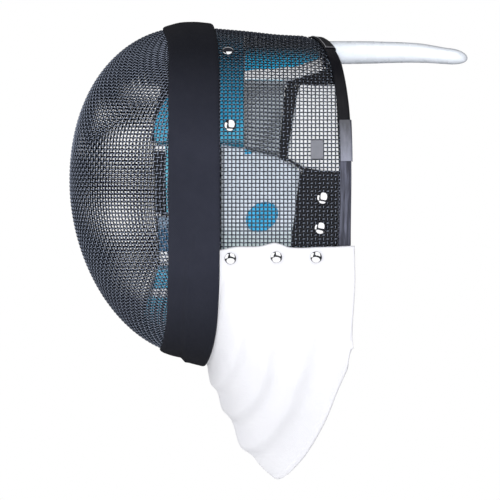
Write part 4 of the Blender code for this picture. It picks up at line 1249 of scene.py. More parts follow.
def build_sleeve():
    """The soft sleeve over the strip: oval rings along its length, a rounded mouth and a shut tip.

    The wall's outer face runs to the tip and its inner face comes back a wall inside it.
    """
    sections = np.array(TONGUE_SECTIONS)
    length = sections[-1, 0] - sections[0, 0]
    y = sections[0, 0] + length * np.sin(np.linspace(0.0, math.pi / 2, 90))
    turn = np.linspace(0.0, 2 * math.pi, 72, endpoint=False)
    across, up = (
        np.sign(way) * np.abs(way) ** (2.0 / TONGUE_FULLNESS)
        for way in (np.cos(turn), np.sin(turn))
    )
    lip, mouth = SLEEVE_WALL / 2, np.linspace(0.0, math.pi, 7)[1:-1]
    zeros = np.zeros(len(y))
    inner_y = np.clip(y[::-1], None, sections[-1, 0] - SLEEVE_WALL)
    ring_y = np.concatenate([inner_y, y[0] + lip * (1.0 - np.sin(mouth)), y])
    inset = np.concatenate([zeros + SLEEVE_WALL, lip + lip * np.cos(mouth), zeros])
    shape_y = np.concatenate([y[::-1], np.full(len(mouth), y[0]), y])
    sizes = (
        smooth_table(TONGUE_SECTIONS, y, 1), smooth_sections(sections, y, 2),
        smooth_sections(sections, y, 3),
    )
    middle, high, wide = (np.interp(shape_y, y, values)[:, None] for values in sizes)
    size_x, size_z = (np.clip(size - inset[:, None], 0.0, None) for size in (wide, high))
    ring_y = ring_y[:, None] + 0.0 * turn
    rings = np.stack([size_x * across, ring_y, middle + size_z * up], axis=-1)
    u = np.linspace(0.0, 1.0, len(rings))[:, None] * 2 * length
    mesh = ring_mesh("tongue_cover", rings, u, np.linspace(0.0, 0.05, len(turn) + 1)[None, :])
    add_piece("tongue_cover", mesh, "plastic", ["tongue_sleeve"])


def smooth_sections(sections, y, column):
    """A section's size along the tongue: straight between sections and round at the tip."""
    value = np.interp(y, sections[:, 0], sections[:, column])
    reach = sections[-1, 0] - sections[-4, 0]
    to_tip = np.clip((sections[-1, 0] - y) / reach, 0.0, 1.0)
    rounded = sections[-4, column] * np.sqrt(1.0 - (1.0 - to_tip) ** 2.4)
    return np.where(to_tip < 1.0, rounded, value)


# ================================================================ lining
def pad_mesh(name, place, lengths, pad, counts):
    """A closed pad on the form: two faces that meet round its border in a rounded edge.

    place(along, down) gives girth and depth for shares 0 to 1; the faces stand half the wall each
    side of its middle, times the roundness of both shares, and the inner one swells by the puff.
    """
    radius, wall = pad["round"], pad["wall"]
    along, down = (
        shares_with_round_ends(length, radius, count) for length, count in zip(lengths, counts)
    )
    full = roundness(along, lengths[0], radius)[:, None] * roundness(down, lengths[1], radius)
    along, down = along[:, None], down[None, :]
    girth, y = place(along, down)
    crown = (1.0 - (2 * along - 1.0) ** 4) * (1.0 - (2 * down - 1.0) ** 4)
    uneven = 0.0003 * pad["puff"] / 0.002 * ripple(girth, y, 41, 30.0, 160.0) * full
    middle = pad["lift"] - wall / 2
    outer = form(girth, y, middle + wall / 2 * full)
    inner = form(girth, y, middle - wall / 2 * full - pad["puff"] * crown + uneven)
    return layered_mesh(name, outer, inner, along * lengths[0], down * lengths[1])


def section_place(sections, sign):
    """Places between the upper and lower edges of a run of sections."""
    sections = np.array(sections)
    numbers = np.arange(len(sections), dtype=float)

    def place(along, down):
        at = along * numbers[-1]
        upper_y, upper_z, lower_y, lower_z = (
            np.interp(at, numbers, column) for column in sections.T
        )
        girth = girth_at(upper_z + (lower_z - upper_z) * down)
        return sign * girth, upper_y + (lower_y - upper_y) * down

    return place


def section_lengths(sections):
    """The mean length along a run of sections, and the mean height between its edges."""
    sections = np.array(sections)
    upper, lower = sections[:, :2], sections[:, 2:]
    along = [np.linalg.norm(np.diff(edge, axis=0), axis=1).sum() for edge in (upper, lower)]
    return float(np.mean(along)), float(np.mean(np.linalg.norm(upper - lower, axis=1)))


def build_paired_lining():
    """The pads, tapes, straps and patches that each side has one of."""
    for name, pad in LINING.items():
        lengths = section_lengths(pad["sections"])
        counts = tuple(max(8, int(length / LINING_CELL)) for length in lengths)
        for side, sign in SIDES:
            node = f"{name}_{side}"
            place = section_place(pad["sections"], sign)
            mesh = pad_mesh(f"soft_{node}", place, lengths, pad, counts)
            finish, replaced = pad["finish"], [] if name in TRIMMINGS else [node]
            piece = add_piece(f"soft_{node}", mesh, finish, replaced)


def build_arched_pads():
    """The pads that cross the middle: under the crown, over the forehead and under the chin."""
    for name, pad in ARCHED_PADS.items():
        span = pad["girth_to"] - pad["girth_from"]

        def place(along, down, name=name, pad=pad, span=span):
            if name == "crown_pad":
                y = pad["front"] + (pad["rear"] - pad["front"]) * down
                return smooth_table(CROWN_PAD_EDGE, y) * (2.0 * along - 1.0), y
            girth = pad["girth_from"] + span * along
            front = smooth_table(FACE_PAD_FRONT, 1.0 - np.abs(np.abs(girth) - 1.0))
            return girth + 0.0 * down, front + (pad["rear"] - front) * down

        lengths = (span * GIRTH_LENGTH, pad["depth"])
        mesh = pad_mesh(f"soft_{name}", place, lengths, pad, pad["counts"])
        piece = add_piece(f"soft_{name}", mesh, pad["finish"], [name])


def build_cheek_discs():
    """The oval patches on the cheek pads: rings from the middle out, domed, with a sewn edge."""
    share = np.linspace(0.0, 1.0, 16)[:, None]
    turn = np.linspace(0.0, 2 * math.pi, 64, endpoint=False)[None, :]
    y = DISC["y"] + DISC["half_width"] * share * np.cos(turn)
    rise = DISC["half_height"] * np.sin(turn) - DISC["lean"] * DISC["half_width"] * np.cos(turn)
    girth = float(girth_at(DISC["z"])) + rise * share / GIRTH_LENGTH
    edge = np.sqrt(np.clip(1.0 - np.clip((share - 0.94) / 0.06, 0.0, 1.0) ** 2, 0.0, 1.0))
    rolled = 0.0003 * np.exp(-(((share - 0.9) / 0.05) ** 2))
    half = DISC["wall"] / 2
    middle = DISC["lift"] - half
    u = np.concatenate([share, 2.0 - share[-2::-1]]) * 0.012
    v = np.linspace(0.0, 0.07, turn.size + 1)[None, :]
    for side, sign in SIDES:
        outer = form(sign * girth, y, middle + (half + rolled) * edge)
        inner = form(sign * girth, y, middle - half * edge)
        name = f"soft_cheek_disc_{side}"
        mesh = ring_mesh(name, np.concatenate([inner, outer[-2::-1]]), u, v)
        add_piece(name, mesh, "disc", [f"cheek_disc_{side}"])


def build_tag():
    """A bare moulded tag on the left side mesh, its corners and edges rounded."""
    half_y, half_z, wall = TAG["half_width"], TAG["half_height"], TAG["wall"]
    girth = float(girth_at(TAG["z"]))
    pad = {"lift": GAP + wall, "wall": wall, "round": wall / 2, "puff": 0.0}

    def place(along, down):
        a, b = 2.0 * along - 1.0, 2.0 * down - 1.0
        corner = 1.0 - 0.05 * (np.abs(a) * np.abs(b)) ** 6
        return girth + half_z * b * corner / GIRTH_LENGTH, TAG["y"] + half_y * a * corner

    mesh = pad_mesh("moulded_tag", place, (2 * half_y, 2 * half_z), pad, (12, 16))
    add_piece("moulded_tag", mesh, "tag", ["mesh_tag"])


# ================================================================ rivets
def seat_on_form(girth, y):
    """Three directions at a place on the form: back along it, down it, and out of it."""
    step = 1e-4
    down = form(girth + step, y) - form(girth - step, y)
    back = form(girth, y + step) - form(girth, y - step)
    out = unit(np.cross(back, down))
    out = out if out[0] * float(on_outline(girth)[0]) > 0.0 else -out
    back = unit(np.array([0.0, 1.0, 0.0]) - out * out[1])
    return back, np.cross(out, back), out


def rivet_profile(shank):
    """Radius and height along a rivet: domed head, rolled lip, shank and clenched end."""
    head, shaft, under = RIVET_HEAD_RADIUS, RIVET_SHANK_RADIUS, 0.00005
    arc = np.linspace(0.0, math.pi / 2, 14)
    rise = RIVET_HEAD_HEIGHT - RIVET_LIP
    dome = [(head * math.sin(a), RIVET_LIP + rise * math.cos(a)) for a in arc]
    lip = [(head, RIVET_LIP * 0.5), (head - RIVET_LIP * 0.6, under)]
    shank_line = [(shaft, under), (shaft, -shank), (shaft * 1.25, -shank - 0.0002)]
    tail = [(shaft * 1.1, -shank - 0.0006), (0.0, -shank - 0.0007)]
    return np.array(dome + lip + shank_line + tail)


def build_rivets(settings):
    """Seven domed rivets a side: the profile turned round the way out of the form, leaned."""
    turn = np.linspace(0.0, 2 * math.pi, settings.sides, endpoint=False)[None, :]
    for label, y, z, outside, within, lean in RIVETS:
        profile = rivet_profile(outside + within + MESH_WALL)
        radius, rise = profile[:, :1], profile[:, 1:]
        u = np.linspace(0, 1, len(profile))[:, None]
        v = np.linspace(0, 1, settings.sides + 1)[None, :]
        for side, sign in SIDES:
            girth = sign * float(girth_at(z))
            back, down, out = seat_on_form(girth, y)
            out = unit(out - math.tan(math.radians(lean)) * back)
            back = unit(back - out * np.dot(back, out))
            rings = (
                form(girth, y) + out * (outside + GAP)
                + (radius * np.cos(turn))[..., None] * back
                + (radius * np.sin(turn))[..., None] * down
                + (rise + 0.0 * turn)[..., None] * out
            )
            name = f"chromed_rivet_{label}_{side}"
            mesh = ring_mesh(name, rings, u, v)
            mesh.set_sharp_from_angle(angle=math.radians(50))
            add_piece(name, mesh, "chrome", [f"rivet_{label}_{side}"])


# ================================================================ finishes
class Nodes:
    """Nodes being placed in one tree."""

    def __init__(self, tree):
        self.tree = tree

    def node(self, kind, inputs=None, **settings):
        """The outputs of a node with its settings, each input given a link or a plain value."""
        made = self.tree.nodes.new(f"ShaderNode{kind}")
        for key, value in settings.items():
            setattr(made, key, value)
        for key, value in (inputs or {}).items():
            socket = made.inputs[key]
            if isinstance(value, bpy.types.NodeSocket):
                self.tree.links.new(value, socket)
            else:
                socket.default_value = (*value[:3], 1.0) if socket.type == "RGBA" else value
        return made.outputs

    def math(self, operation, *values, **settings):
        return self.node("Math", dict(enumerate(values)), operation=operation, **settings)[0]

    def mix(self, share, first, second):
        """One colour passing to another by a share, on the Mix node's sockets for colours."""
        return self.node("Mix", {0: share, 6: first, 7: second}, data_type="RGBA")[2]

    def between(self, value, low, high, least=0.0, most=1.0):
        """Runs from the least to the most as a value passes from low to high."""
        return self.node("MapRange", {
            "Value": value, "From Min": low, "From Max": high, "To Min": least, "To Max": most,
        })[0]

    def noise(self, scale, detail=3.0, vector=None, roughness=0.5):
        return self.node("TexNoise", {
            "Vector": vector or self.here, "Scale": scale, "Detail": detail,
            "Roughness": roughness,
        })[0]

    def group(self, name, **inputs):
        """A shared effect, built the first time, placed with its own values."""
        tree = bpy.data.node_groups.get(name) or GROUPS[name]()
        return self.node("Group", inputs, node_tree=tree)


def new_group(name, inputs, build):
    """A shader group with named sockets, and an output for each result, of the result's kind."""
    tree = bpy.data.node_groups.new(name, "ShaderNodeTree")
    for label, default in inputs.items():
        kind = {type(None): "Vector", float: "Float", tuple: "Color"}[type(default)]
        socket = tree.interface.new_socket(label, in_out="INPUT", socket_type=f"NodeSocket{kind}")
        if default is not None:
            socket.default_value = default
    results = build(Nodes(tree), tree.nodes.new("NodeGroupInput").outputs)
    for label, value in results.items():
        kind = "Color" if value.type == "RGBA" else "Float"
        tree.interface.new_socket(label, in_out="OUTPUT", socket_type=f"NodeSocket{kind}")
    leave = tree.nodes.new("NodeGroupOutput").inputs
    for label, value in results.items():
        tree.links.new(value, leave[label])
    return tree


def group_weave():
    """A plain weave: the product of two sines, one over each set of threads, roughened by fuzz."""
    def build(nodes, given):
        split = nodes.node("SeparateXYZ", {0: given["Vector"]})
        turns = nodes.math("MULTIPLY", given["Threads"], math.pi)
        sines = [nodes.math("SINE", nodes.math("MULTIPLY", split[k], turns)) for k in (0, 1)]
        product = nodes.math("MULTIPLY", *sines)
        coarse = nodes.math("MULTIPLY", given["Threads"], 0.35)
        fuzz = nodes.math("MULTIPLY", nodes.noise(coarse, 3.0, given["Vector"]), given["Fuzz"])
        return {
            "Height": nodes.math("MULTIPLY_ADD", product, 0.5, fuzz),
            "Shade": nodes.math("MULTIPLY_ADD", product, 0.25, 0.5),
        }

    return new_group("Weave", {"Vector": None, "Threads": 1000.0, "Fuzz": 0.2}, build)


def group_drift():
    """Two colours that drift into each other in soft patches of a noise."""
    def build(nodes, given):
        noise = nodes.noise(given["Scale"], 4.0, given["Vector"], 0.6)
        centred = nodes.math("SUBTRACT", noise, 0.5)
        share = nodes.math("MULTIPLY_ADD", centred, given["Contrast"], 0.5, use_clamp=True)
        return {"Colour": nodes.mix(share, given["First"], given["Second"])}

    grey = (0.5, 0.5, 0.5, 1.0)
    inputs = {"Vector": None, "Scale": 20.0, "Contrast": 1.5, "First": grey, "Second": grey}
    return new_group("Drift", inputs, build)


def group_gloss():
    """A roughness that varies between two values with a noise."""
    def build(nodes, given):
        noise = nodes.noise(given["Scale"], 5.0, given["Vector"])
        return {"Roughness": nodes.between(noise, 0.3, 0.7, given["Smooth"], given["Rough"])}

    inputs = {"Vector": None, "Scale": 60.0, "Smooth": 0.3, "Rough": 0.5}
    return new_group("Gloss", inputs, build)


def group_zone():
    """A mask that is 1 between two values and 0 outside, soft over a short way."""
    def build(nodes, given):
        above = nodes.math("SUBTRACT", given["Value"], given["Low"])
        below = nodes.math("SUBTRACT", given["High"], given["Value"])
        above, below = (nodes.math("DIVIDE", way, given["Soft"]) for way in (above, below))
        inner = nodes.math("MINIMUM", above, below)
        return {"Mask": nodes.math("ADD", inner, 0.5, use_clamp=True)}

    return new_group("Zone", {"Value": 0.0, "Low": 0.0, "High": 1.0, "Soft": 0.001}, build)


GROUPS = {"Weave": group_weave, "Drift": group_drift, "Gloss": group_gloss, "Zone": group_zone}


class Finish(Nodes):
    """A Principled material being put together."""

    def __init__(self, name, **constants):
        self.material = bpy.data.materials.new(name)
        self.material.use_nodes = True
        super().__init__(self.material.node_tree)
        self.shader = self.tree.nodes["Principled BSDF"]
        for key, value in constants.items():
            self.shader.inputs[key.replace("_", " ")].default_value = value
        self.here = self.node("TexCoord")["Object"]
        self.cloth = self.node("UVMap", uv_map=CLOTH_MAP)[0]
        self.height = self.node("SeparateXYZ", {0: self.here})[2]

    def set(self, socket, value):
        self.tree.links.new(value, self.shader.inputs[socket])

    def patches(self, first, second, scale, contrast=1.5):
        """Soft patches of two colours."""
        inputs = {"Scale": scale, "Contrast": contrast, "First": first, "Second": second}
        return self.group("Drift", Vector=self.here, **inputs)["Colour"]

    def gloss(self, smooth, rough, scale):
        made = self.group("Gloss", Vector=self.here, Scale=scale, Smooth=smooth, Rough=rough)
        self.set("Roughness", made["Roughness"])

    def relief(self, height, distance, strength=1.0):
        inputs = {"Height": height, "Distance": distance, "Strength": strength}
        self.set("Normal", self.node("Bump", inputs)[0])

    def weave(self, threads, depth, fuzz):
        """Threads as relief; gives their light and shade."""
        made = self.group("Weave", Vector=self.cloth, Threads=threads, Fuzz=fuzz)
        self.relief(made["Height"], depth)
        return made["Shade"]

    def wave(self, direction, scale, distortion, detail=2.0):
        """Even bands across the cloth."""
        inputs = {
            "Vector": self.cloth, "Scale": scale, "Distortion": distortion, "Detail": detail,
        }
        return self.node("TexWave", inputs, bands_direction=direction)["Fac"]

    def zone(self, value, borders, soft):
        return self.group("Zone", Value=value, Low=borders[0], High=borders[1], Soft=soft)["Mask"]

    def on_cloth(self, axis):
        """A place along one of the cloth's axes, in metres."""
        return self.node("SeparateXYZ", {0: self.cloth})[axis]

    def stretched(self, *scales):
        return self.node("Mapping", {"Vector": self.cloth, "Scale": (*scales, 1.0)})[0]

    def piping(self, colour, axis=0, shadow_widening=0.0):
        """A black edge to a pad's front: its first millimetres along an axis of the cloth."""
        # a painted shadow can widen the black edge by this much
        front = self.math("SUBTRACT", self.on_cloth(axis), shadow_widening)
        return self.mix(self.zone(front, (-0.1, 0.0018), 0.0004), colour, (0.008, 0.008, 0.010))

    def done(self, colour, gloss=None, relief=None):
        """The material, with its colour and, where they are given, its gloss and relief."""
        self.set("Base Color", colour)
        if gloss:
            self.gloss(*gloss)
        if relief:
            self.relief(*relief)
        return self.material


def scaled(colour, factor):
    """A colour made darker or paler by a factor."""
    return tuple(factor * c for c in colour)


def wire_finish(name, wire, light, highlight_from):
    """Blackened wire: dark metal, with a painted highlight where a crest faces outwards, half
    glossy.
    """
    made = Finish(name, Metallic=1.0)
    rubbed = made.node("SeparateXYZ", {0: made.node("UVMap", uv_map=CREST_HIGHLIGHT_MAP)[0]})
    # painted highlight: lighter where a place is high on a crest and faces outwards
    crest = made.between(made.math("MULTIPLY", rubbed[0], rubbed[1]), highlight_from, 1.0)
    uneven = made.math("MULTIPLY_ADD", made.noise(420.0), 1.2, 0.4)
    colour = made.mix(made.math("MULTIPLY", crest, uneven), wire.dark, light)
    return made.done(colour, (0.16, 0.28, 240.0), (made.noise(5200.0, 2.0), 0.00002, 0.4))


def finish_wire(scene):
    """The face's wire, its crests that face outwards painted with a highlight."""
    wire = scene.mask_wire
    return wire_finish("blackened_wire", wire, wire.light, wire.highlight_from)


def finish_side_wire(scene):
    """The sides' wire, its painted crest highlights narrower."""
    wire = scene.mask_wire
    return wire_finish("side_wire", wire, wire.side_highlight, wire.side_highlight_from)


def finish_tape(scene):
    """Dark knitted tape with a fine grain, rubbed lighter in soft patches, and darkened by painted
    shade on its top and underside.
    """
    made = Finish("trim_tape", Specular_IOR_Level=0.1, Sheen_Weight=0.01, Sheen_Roughness=0.6)
    bands = scene.mask_bands
    unshaded_middle = made.zone(made.height, UNSHADED_PART_OF_TAPE, 0.08)
    patches = made.patches(bands.tape, bands.tape_worn, 26.0, 1.6)
    # painted shade: the tape is 0.30 of its colour above and below the middle zone
    patches = made.mix(unshaded_middle, scaled(bands.tape, 0.30), patches)
    grain = made.math("MULTIPLY", made.noise(2600.0, 2.0), 0.16)
    made.weave(1150.0, 0.00011, 0.9)
    return made.done(made.mix(grain, patches, (0.038, 0.041, 0.056)), (0.72, 0.92, 120.0))


def finish_binding(scene):
    """Smooth vinyl: black above, greyer and creased lengthwise lower down."""
    made = Finish("vinyl_binding", Specular_IOR_Level=0.2)
    bands = scene.mask_bands
    low = made.zone(made.height, GREY_PART_OF_BINDING, 0.012)
    streaks = made.noise(1.0, 4.0, made.stretched(34.0, 520.0), 0.6)
    streaks = made.between(streaks, 0.40, 0.68)
    grey = made.mix(streaks, scaled(bands.binding_low, 0.5), scaled(bands.binding_low, 1.9))
    colour = made.mix(low, bands.binding, grey)
    return made.done(colour, (0.35, 0.55, 130.0), (streaks, 0.00035, 0.8))


def finish_crown_binding(scene):
    """The same vinyl, its cut ends frayed, with a painted grey highlight where the frayed ends
    catch the light.
    """
    made = Finish("crown_vinyl", Specular_IOR_Level=0.25)
    reach = CROWN_COVER_GIRTH * GIRTH_LENGTH
    from_end = made.math("SUBTRACT", reach, made.math("ABSOLUTE", made.on_cloth(0)))
    fray = made.noise(900.0, 5.0)
    edge = made.math("ADD", from_end, made.math("MULTIPLY", fray, -0.003))
    # painted highlight: the frayed cut ends are painted grey where they catch the light
    lit_frayed_end = made.zone(edge, (-0.02, 0.0012), 0.0012)
    colour = made.mix(lit_frayed_end, scene.mask_bands.binding, (0.10, 0.10, 0.11))
    return made.done(colour, (0.45, 0.62, 200.0), (fray, 0.00012, 0.5))


def finish_edge_thread(_scene):
    """The pale thread along the crown binding's front edge, twisted from fine strands."""
    made = Finish("pale_thread", Roughness=0.7)
    twist = made.wave("DIAGONAL", 700.0, 1.5)
    colour = made.mix(twist, (0.13, 0.13, 0.14), (0.34, 0.34, 0.36))
    return made.done(colour, relief=(twist, 0.0001))


def finish_sleeve(scene):
    """Glossy soft plastic over the binding: paler towards its lower end, with smears."""
    made = Finish("glossy_sleeve", IOR=1.5, Coat_Weight=0.35, Coat_Roughness=0.15)
    colour = scene.mask_bands.sleeve
    down = made.between(made.height, *(float(on_outline(g)[1]) for g in SLEEVE_GIRTH))
    smear = made.noise(1.0, 4.0, made.stretched(90.0, 420.0), 0.65)
    share = made.math("ADD", smear, made.math("MULTIPLY_ADD", down, 1.1, -0.60))
    colour = made.mix(share, scaled(colour, 0.35), scaled(colour, 1.6))
    return made.done(colour, (0.26, 0.46, 170.0), (smear, 0.0004, 0.6))


def finish_bib(scene):
    """White padded cloth with a close weave and faint cool patches."""
    made = Finish(
        "bib_cloth", IOR=1.4, Sheen_Weight=0.15, Sheen_Roughness=0.5, Specular_IOR_Level=0.3
    )
    bib = scene.mask_bib
    share = made.math("MULTIPLY", made.weave(bib.threads, 0.00009, 0.5), 0.06)
    patches = made.patches(bib.cloth, bib.cloth_shade, 14.0, 1.4)
    return made.done(made.mix(share, patches, (0.70, 0.71, 0.78)), (0.82, 0.95, 90.0))


def finish_plastic(scene):
    """Milky soft plastic: light goes a little way in, a few scuffs."""
    made = Finish(
        "milky_plastic", IOR=1.45, Subsurface_Weight=0.4, Subsurface_Scale=0.0025,
        Subsurface_Radius=(1.0, 1.0, 1.0), Coat_Weight=0.3, Coat_Roughness=0.12,
    )
    plastic = scene.mask_tongue.plastic
    scuff = made.noise(1.0, 3.0, made.stretched(40.0, 900.0))
    colour = made.patches(plastic, scaled(plastic, 0.93), 40.0, 1.4)
    return made.done(colour, (0.20, 0.38, 110.0), (scuff, 0.00005, 0.5))


def finish_steel(scene):
    """Rolled spring steel, brushed along its length."""
    made = Finish("spring_steel", Metallic=1.0)
    steel = scene.mask_tongue.steel
    brushed = made.noise(1.0, 4.0, made.stretched(3000.0, 60.0), 0.7)
    colour = made.mix(brushed, scaled(steel, 0.7), steel)
    return made.done(colour, (0.22, 0.42, 150.0), (brushed, 0.00002, 0.5))


def fabric(name, first, second, threads=800.0, depth=0.00016):
    """Woven or knitted lining cloth in two drifting colours; gives the finish and its colour."""
    made = Finish(name, Sheen_Weight=0.3, Sheen_Roughness=0.5, Specular_IOR_Level=0.3)
    share = made.math("MULTIPLY", made.weave(threads, depth, 0.5), 0.35)
    made.gloss(0.78, 0.95, 100.0)
    return made, made.mix(share, made.patches(first, second, 45.0, 2.2), scaled(first, 0.55))


def finish_blue(scene):
    """Brushed blue cloth of the face pads, darker towards the crown by painted shade, paler low
    down by a painted sheen, its black piping widened near the crown by a painted shadow.
    """
    lining = scene.mask_lining
    made, colour = fabric("blue_cloth", lining.blue, lining.blue_pale)
    # painted highlight: the lower part mixed towards a paler blue, a painted sheen
    low = made.between(made.height, -0.060, -0.086, most=0.8)
    colour = made.mix(low, colour, (0.13, 0.48, 0.64))
    # painted shade: the face pads darken to the deep blue towards the crown
    down = made.between(made.height, -0.010, -0.070)
    colour = made.mix(down, lining.blue_painted_shade, colour)
    # the black piping widens towards the crown: real piping, widened by a painted shadow beside the
    # trim
    up = made.between(made.height, -0.062, -0.031)
    shadow_widening = made.math("MULTIPLY", made.math("POWER", up, 1.6), 0.0095)
    return made.done(made.piping(colour, 1, shadow_widening))


def finish_disc(scene):
    """The same blue cloth for the oval patches."""
    lining = scene.mask_lining
    pale = (1.25 * lining.blue_pale[0], 0.60, 1.0)
    made, colour = fabric("disc_cloth", scaled(lining.blue, 1.25), pale)
    return made.done(colour)


def finish_piping(_scene):
    """Pale blue cord sewn along the ribbed panels."""
    made, colour = fabric("pale_piping", (0.30, 0.58, 0.74), (0.42, 0.68, 0.80), 700.0, 0.0001)
    return made.done(colour)


def finish_cheek(scene):
    """White cloth of the cheek pads, its lower part greyed by painted shade towards the bib."""
    red, green, blue = scene.mask_lining.white
    cool = (0.86 * red, 0.92 * green, blue)
    made, colour = fabric("cheek_cloth", cool, scaled(cool, 0.90), 900.0, 0.00012)
    # painted shade: the pad's lower end mixed to a cool grey
    low = made.zone(made.height, SHADED_END_OF_CHEEK, 0.022)
    return made.done(made.mix(low, colour, (0.56, 0.66, 0.68)))


def finish_teal(scene):
    """Dark teal cloth of the crown pad, painted nearly black at its top as shade under the crown.
    """
    teal = scene.mask_lining.teal
    made, colour = fabric("teal_cloth", teal, scaled(teal, 1.6))
    # painted shade: nearly black at the top of the pad, under the crown
    down = made.between(made.height, -0.003, -0.013)
    return made.done(made.mix(down, (0.004, 0.020, 0.034), colour))


def finish_white(scene):
    """White cloth of the crown tapes and the ear cloths, greyed in places."""
    white = scene.mask_lining.white
    made, colour = fabric("white_cloth", white, scaled(white, 0.93), 900.0, 0.00012)
    return made.done(colour)


def finish_temple(scene):
    """Black cloth of the temple pads, with a white band at their top and a blue strip."""
    lining = scene.mask_lining
    made, colour = fabric("temple_cloth", lining.black, scaled(lining.black, 2.2), 850.0)
    band = made.zone(made.height, WHITE_BAND_OF_TEMPLE, 0.0006)
    colour = made.mix(band, colour, lining.white)
    strip = made.zone(made.on_cloth(0), BLUE_STRIP_OF_TEMPLE, 0.0004)
    return made.done(made.piping(made.mix(strip, colour, (0.150, 0.520, 0.680))))


def finish_jaw(scene):
    """Blue grey cloth of the jaw pads, paler at the top and white at their lower end."""
    grey = (0.040, 0.110, 0.200)
    made, colour = fabric("jaw_cloth", grey, scaled(grey, 1.8), 850.0)
    top = made.zone(made.height, PALE_TOP_OF_JAW, 0.004)
    colour = made.mix(top, colour, (0.26, 0.36, 0.48))
    end = made.zone(made.height, WHITE_END_OF_JAW, 0.0006)
    return made.done(made.piping(made.mix(end, colour, scene.mask_lining.white)))


def finish_chin(scene):
    """Blue cloth of the chin pad with a white stripe round it."""
    lining = scene.mask_lining
    made, colour = fabric("chin_cloth", lining.blue_pale, (0.16, 0.58, 0.86))
    stripe = made.zone(made.height, STRIPE_OF_CHIN, 0.0006)
    return made.done(made.piping(made.mix(stripe, colour, lining.white), 1))


def finish_spacer(scene):
    """Grey spacer cloth with ribs across it."""
    made = Finish("spacer_cloth", Sheen_Weight=0.3, Sheen_Roughness=0.5)
    grey = scene.mask_lining.grey
    ribs = made.wave("Y", 95.0, 1.2)
    colour = made.mix(ribs, scaled(grey, 0.4), scaled(grey, 1.45))
    return made.done(colour, (0.8, 0.95, 90.0), (ribs, 0.0006))


def finish_webbing(scene):
    """Black webbing, its threads twilled."""
    made = Finish("black_webbing", Sheen_Weight=0.25, Sheen_Roughness=0.4)
    black = scene.mask_lining.black
    twill = made.wave("DIAGONAL", 260.0, 0.6, 1.0)
    colour = made.mix(twill, black, scaled(black, 2.6))
    return made.done(colour, (0.6, 0.8, 100.0), (twill, 0.0002))


def finish_tag(_scene):
    """Grey moulded plastic, lightly pitted."""
    made = Finish("tag_plastic", IOR=1.45)
    colour = made.patches((0.140, 0.145, 0.166), (0.168, 0.174, 0.20), 300.0)
    return made.done(colour, (0.40, 0.55, 400.0), (made.noise(1800.0), 0.00004))


def finish_chrome(scene):
    """Polished plating with faint turned scratches."""
    rivets = scene.mask_rivets
    made = Finish("rivet_chrome", Metallic=1.0)
    least = 1.0 - rivets.polish
    colour = made.patches(rivets.chrome, scaled(rivets.chrome, 0.9), 260.0)
    scratches = made.noise(1500.0, 4.0)
    return made.done(colour, (0.5 * least, 1.6 * least, 420.0), (scratches, 0.00001, 0.4))


FINISHES = {
    make.__name__.removeprefix("finish_"): make
    for make in (
        finish_wire, finish_side_wire, finish_tape, finish_binding, finish_crown_binding,
        finish_edge_thread, finish_sleeve, finish_bib, finish_plastic, finish_steel, finish_blue,
        finish_teal, finish_white, finish_temple, finish_jaw, finish_chin, finish_spacer,
        finish_webbing, finish_disc, finish_cheek, finish_piping, finish_tag, finish_chrome,
    )
}


@functools.cache
def finish_of(name):
    """A finish, made the first time that a piece asks for it."""
    return FINISHES[name](bpy.context.scene)


# ================================================================ studio
def studio_world(settings):
    """White behind the mask, a soft fill light, and a dark room in what glossy pieces mirror."""
    world = bpy.data.worlds.new("studio")
    world.use_nodes = True
    nodes = Nodes(world.node_tree)
    nodes.tree.nodes.clear()
    ray = nodes.node("LightPath")
    height = nodes.node("SeparateXYZ", {0: nodes.node("TexCoord")["Generated"]})[2]
    above = nodes.between(height, -0.3, 0.0)
    fill = nodes.mix(above, settings.fill_below, settings.fill)
    colour = nodes.mix(ray["Is Glossy Ray"], fill, settings.room)
    colour = nodes.mix(ray["Is Camera Ray"], colour, (1.0, 1.0, 1.0))
    light = nodes.node("Background", {"Color": colour, "Strength": 1.0})[0]
    nodes.node("OutputWorld", {"Surface": light})
    bpy.context.scene.world = world


def table_disc(height, radius):
    """A flat white disc that glows a little: rings from the middle out at one height."""
    share = np.linspace(0.0, 1.0, 9)[:, None]
    turn = np.linspace(0.0, 2 * math.pi, 96, endpoint=False)[None, :]
    x, y = radius * share * np.cos(turn), radius * share * np.sin(turn)
    points = np.stack([x, y, np.full_like(x, height)], axis=-1).reshape(-1, 3)
    mesh = fill_mesh("studio_table", points, [cell_corners(ring_numbers(*x.shape))])
    table_top = new_object("studio_table", mesh)
    mesh.materials.append(
        Finish(
            "studio_table", Base_Color=(0.80, 0.80, 0.81, 1.0), Roughness=0.9,
            Emission_Color=(1.0, 1.0, 1.0, 1.0), Emission_Strength=0.30,
        ).material
    )
    table_top.visible_glossy = False


SOFTBOXES = (
    # name, turn to the right of the camera, height, roll, width, tallness, all in degrees,
    # distance, share of the brightness
    ("right_softbox", 16.0, 32.0, -12.0, 54.0, 80.0, 3.4, 1.0),
    ("left_softbox", -68.0, 10.0, -8.0, 78.0, 50.0, 2.6, 1.0),
    ("low_softbox", -12.0, -50.0, 0.0, 70.0, 66.0, 1.5, 0.75),
    ("rear_softbox", 180.0, 50.0, 0.0, 60.0, 20.0, 2.4, 0.30),
)
MIRRORED_ONLY = ("rear_softbox",)
# turn and height in degrees, distance, size in metres
FRONT_LIGHT = (0.0, 0.0, 3.3, 0.35)  # behind the camera: the wires' shadows hide behind the wires
FAR_LIGHT = (150.0, 3.0, 2.6, 1.0)  # for the far side and the back


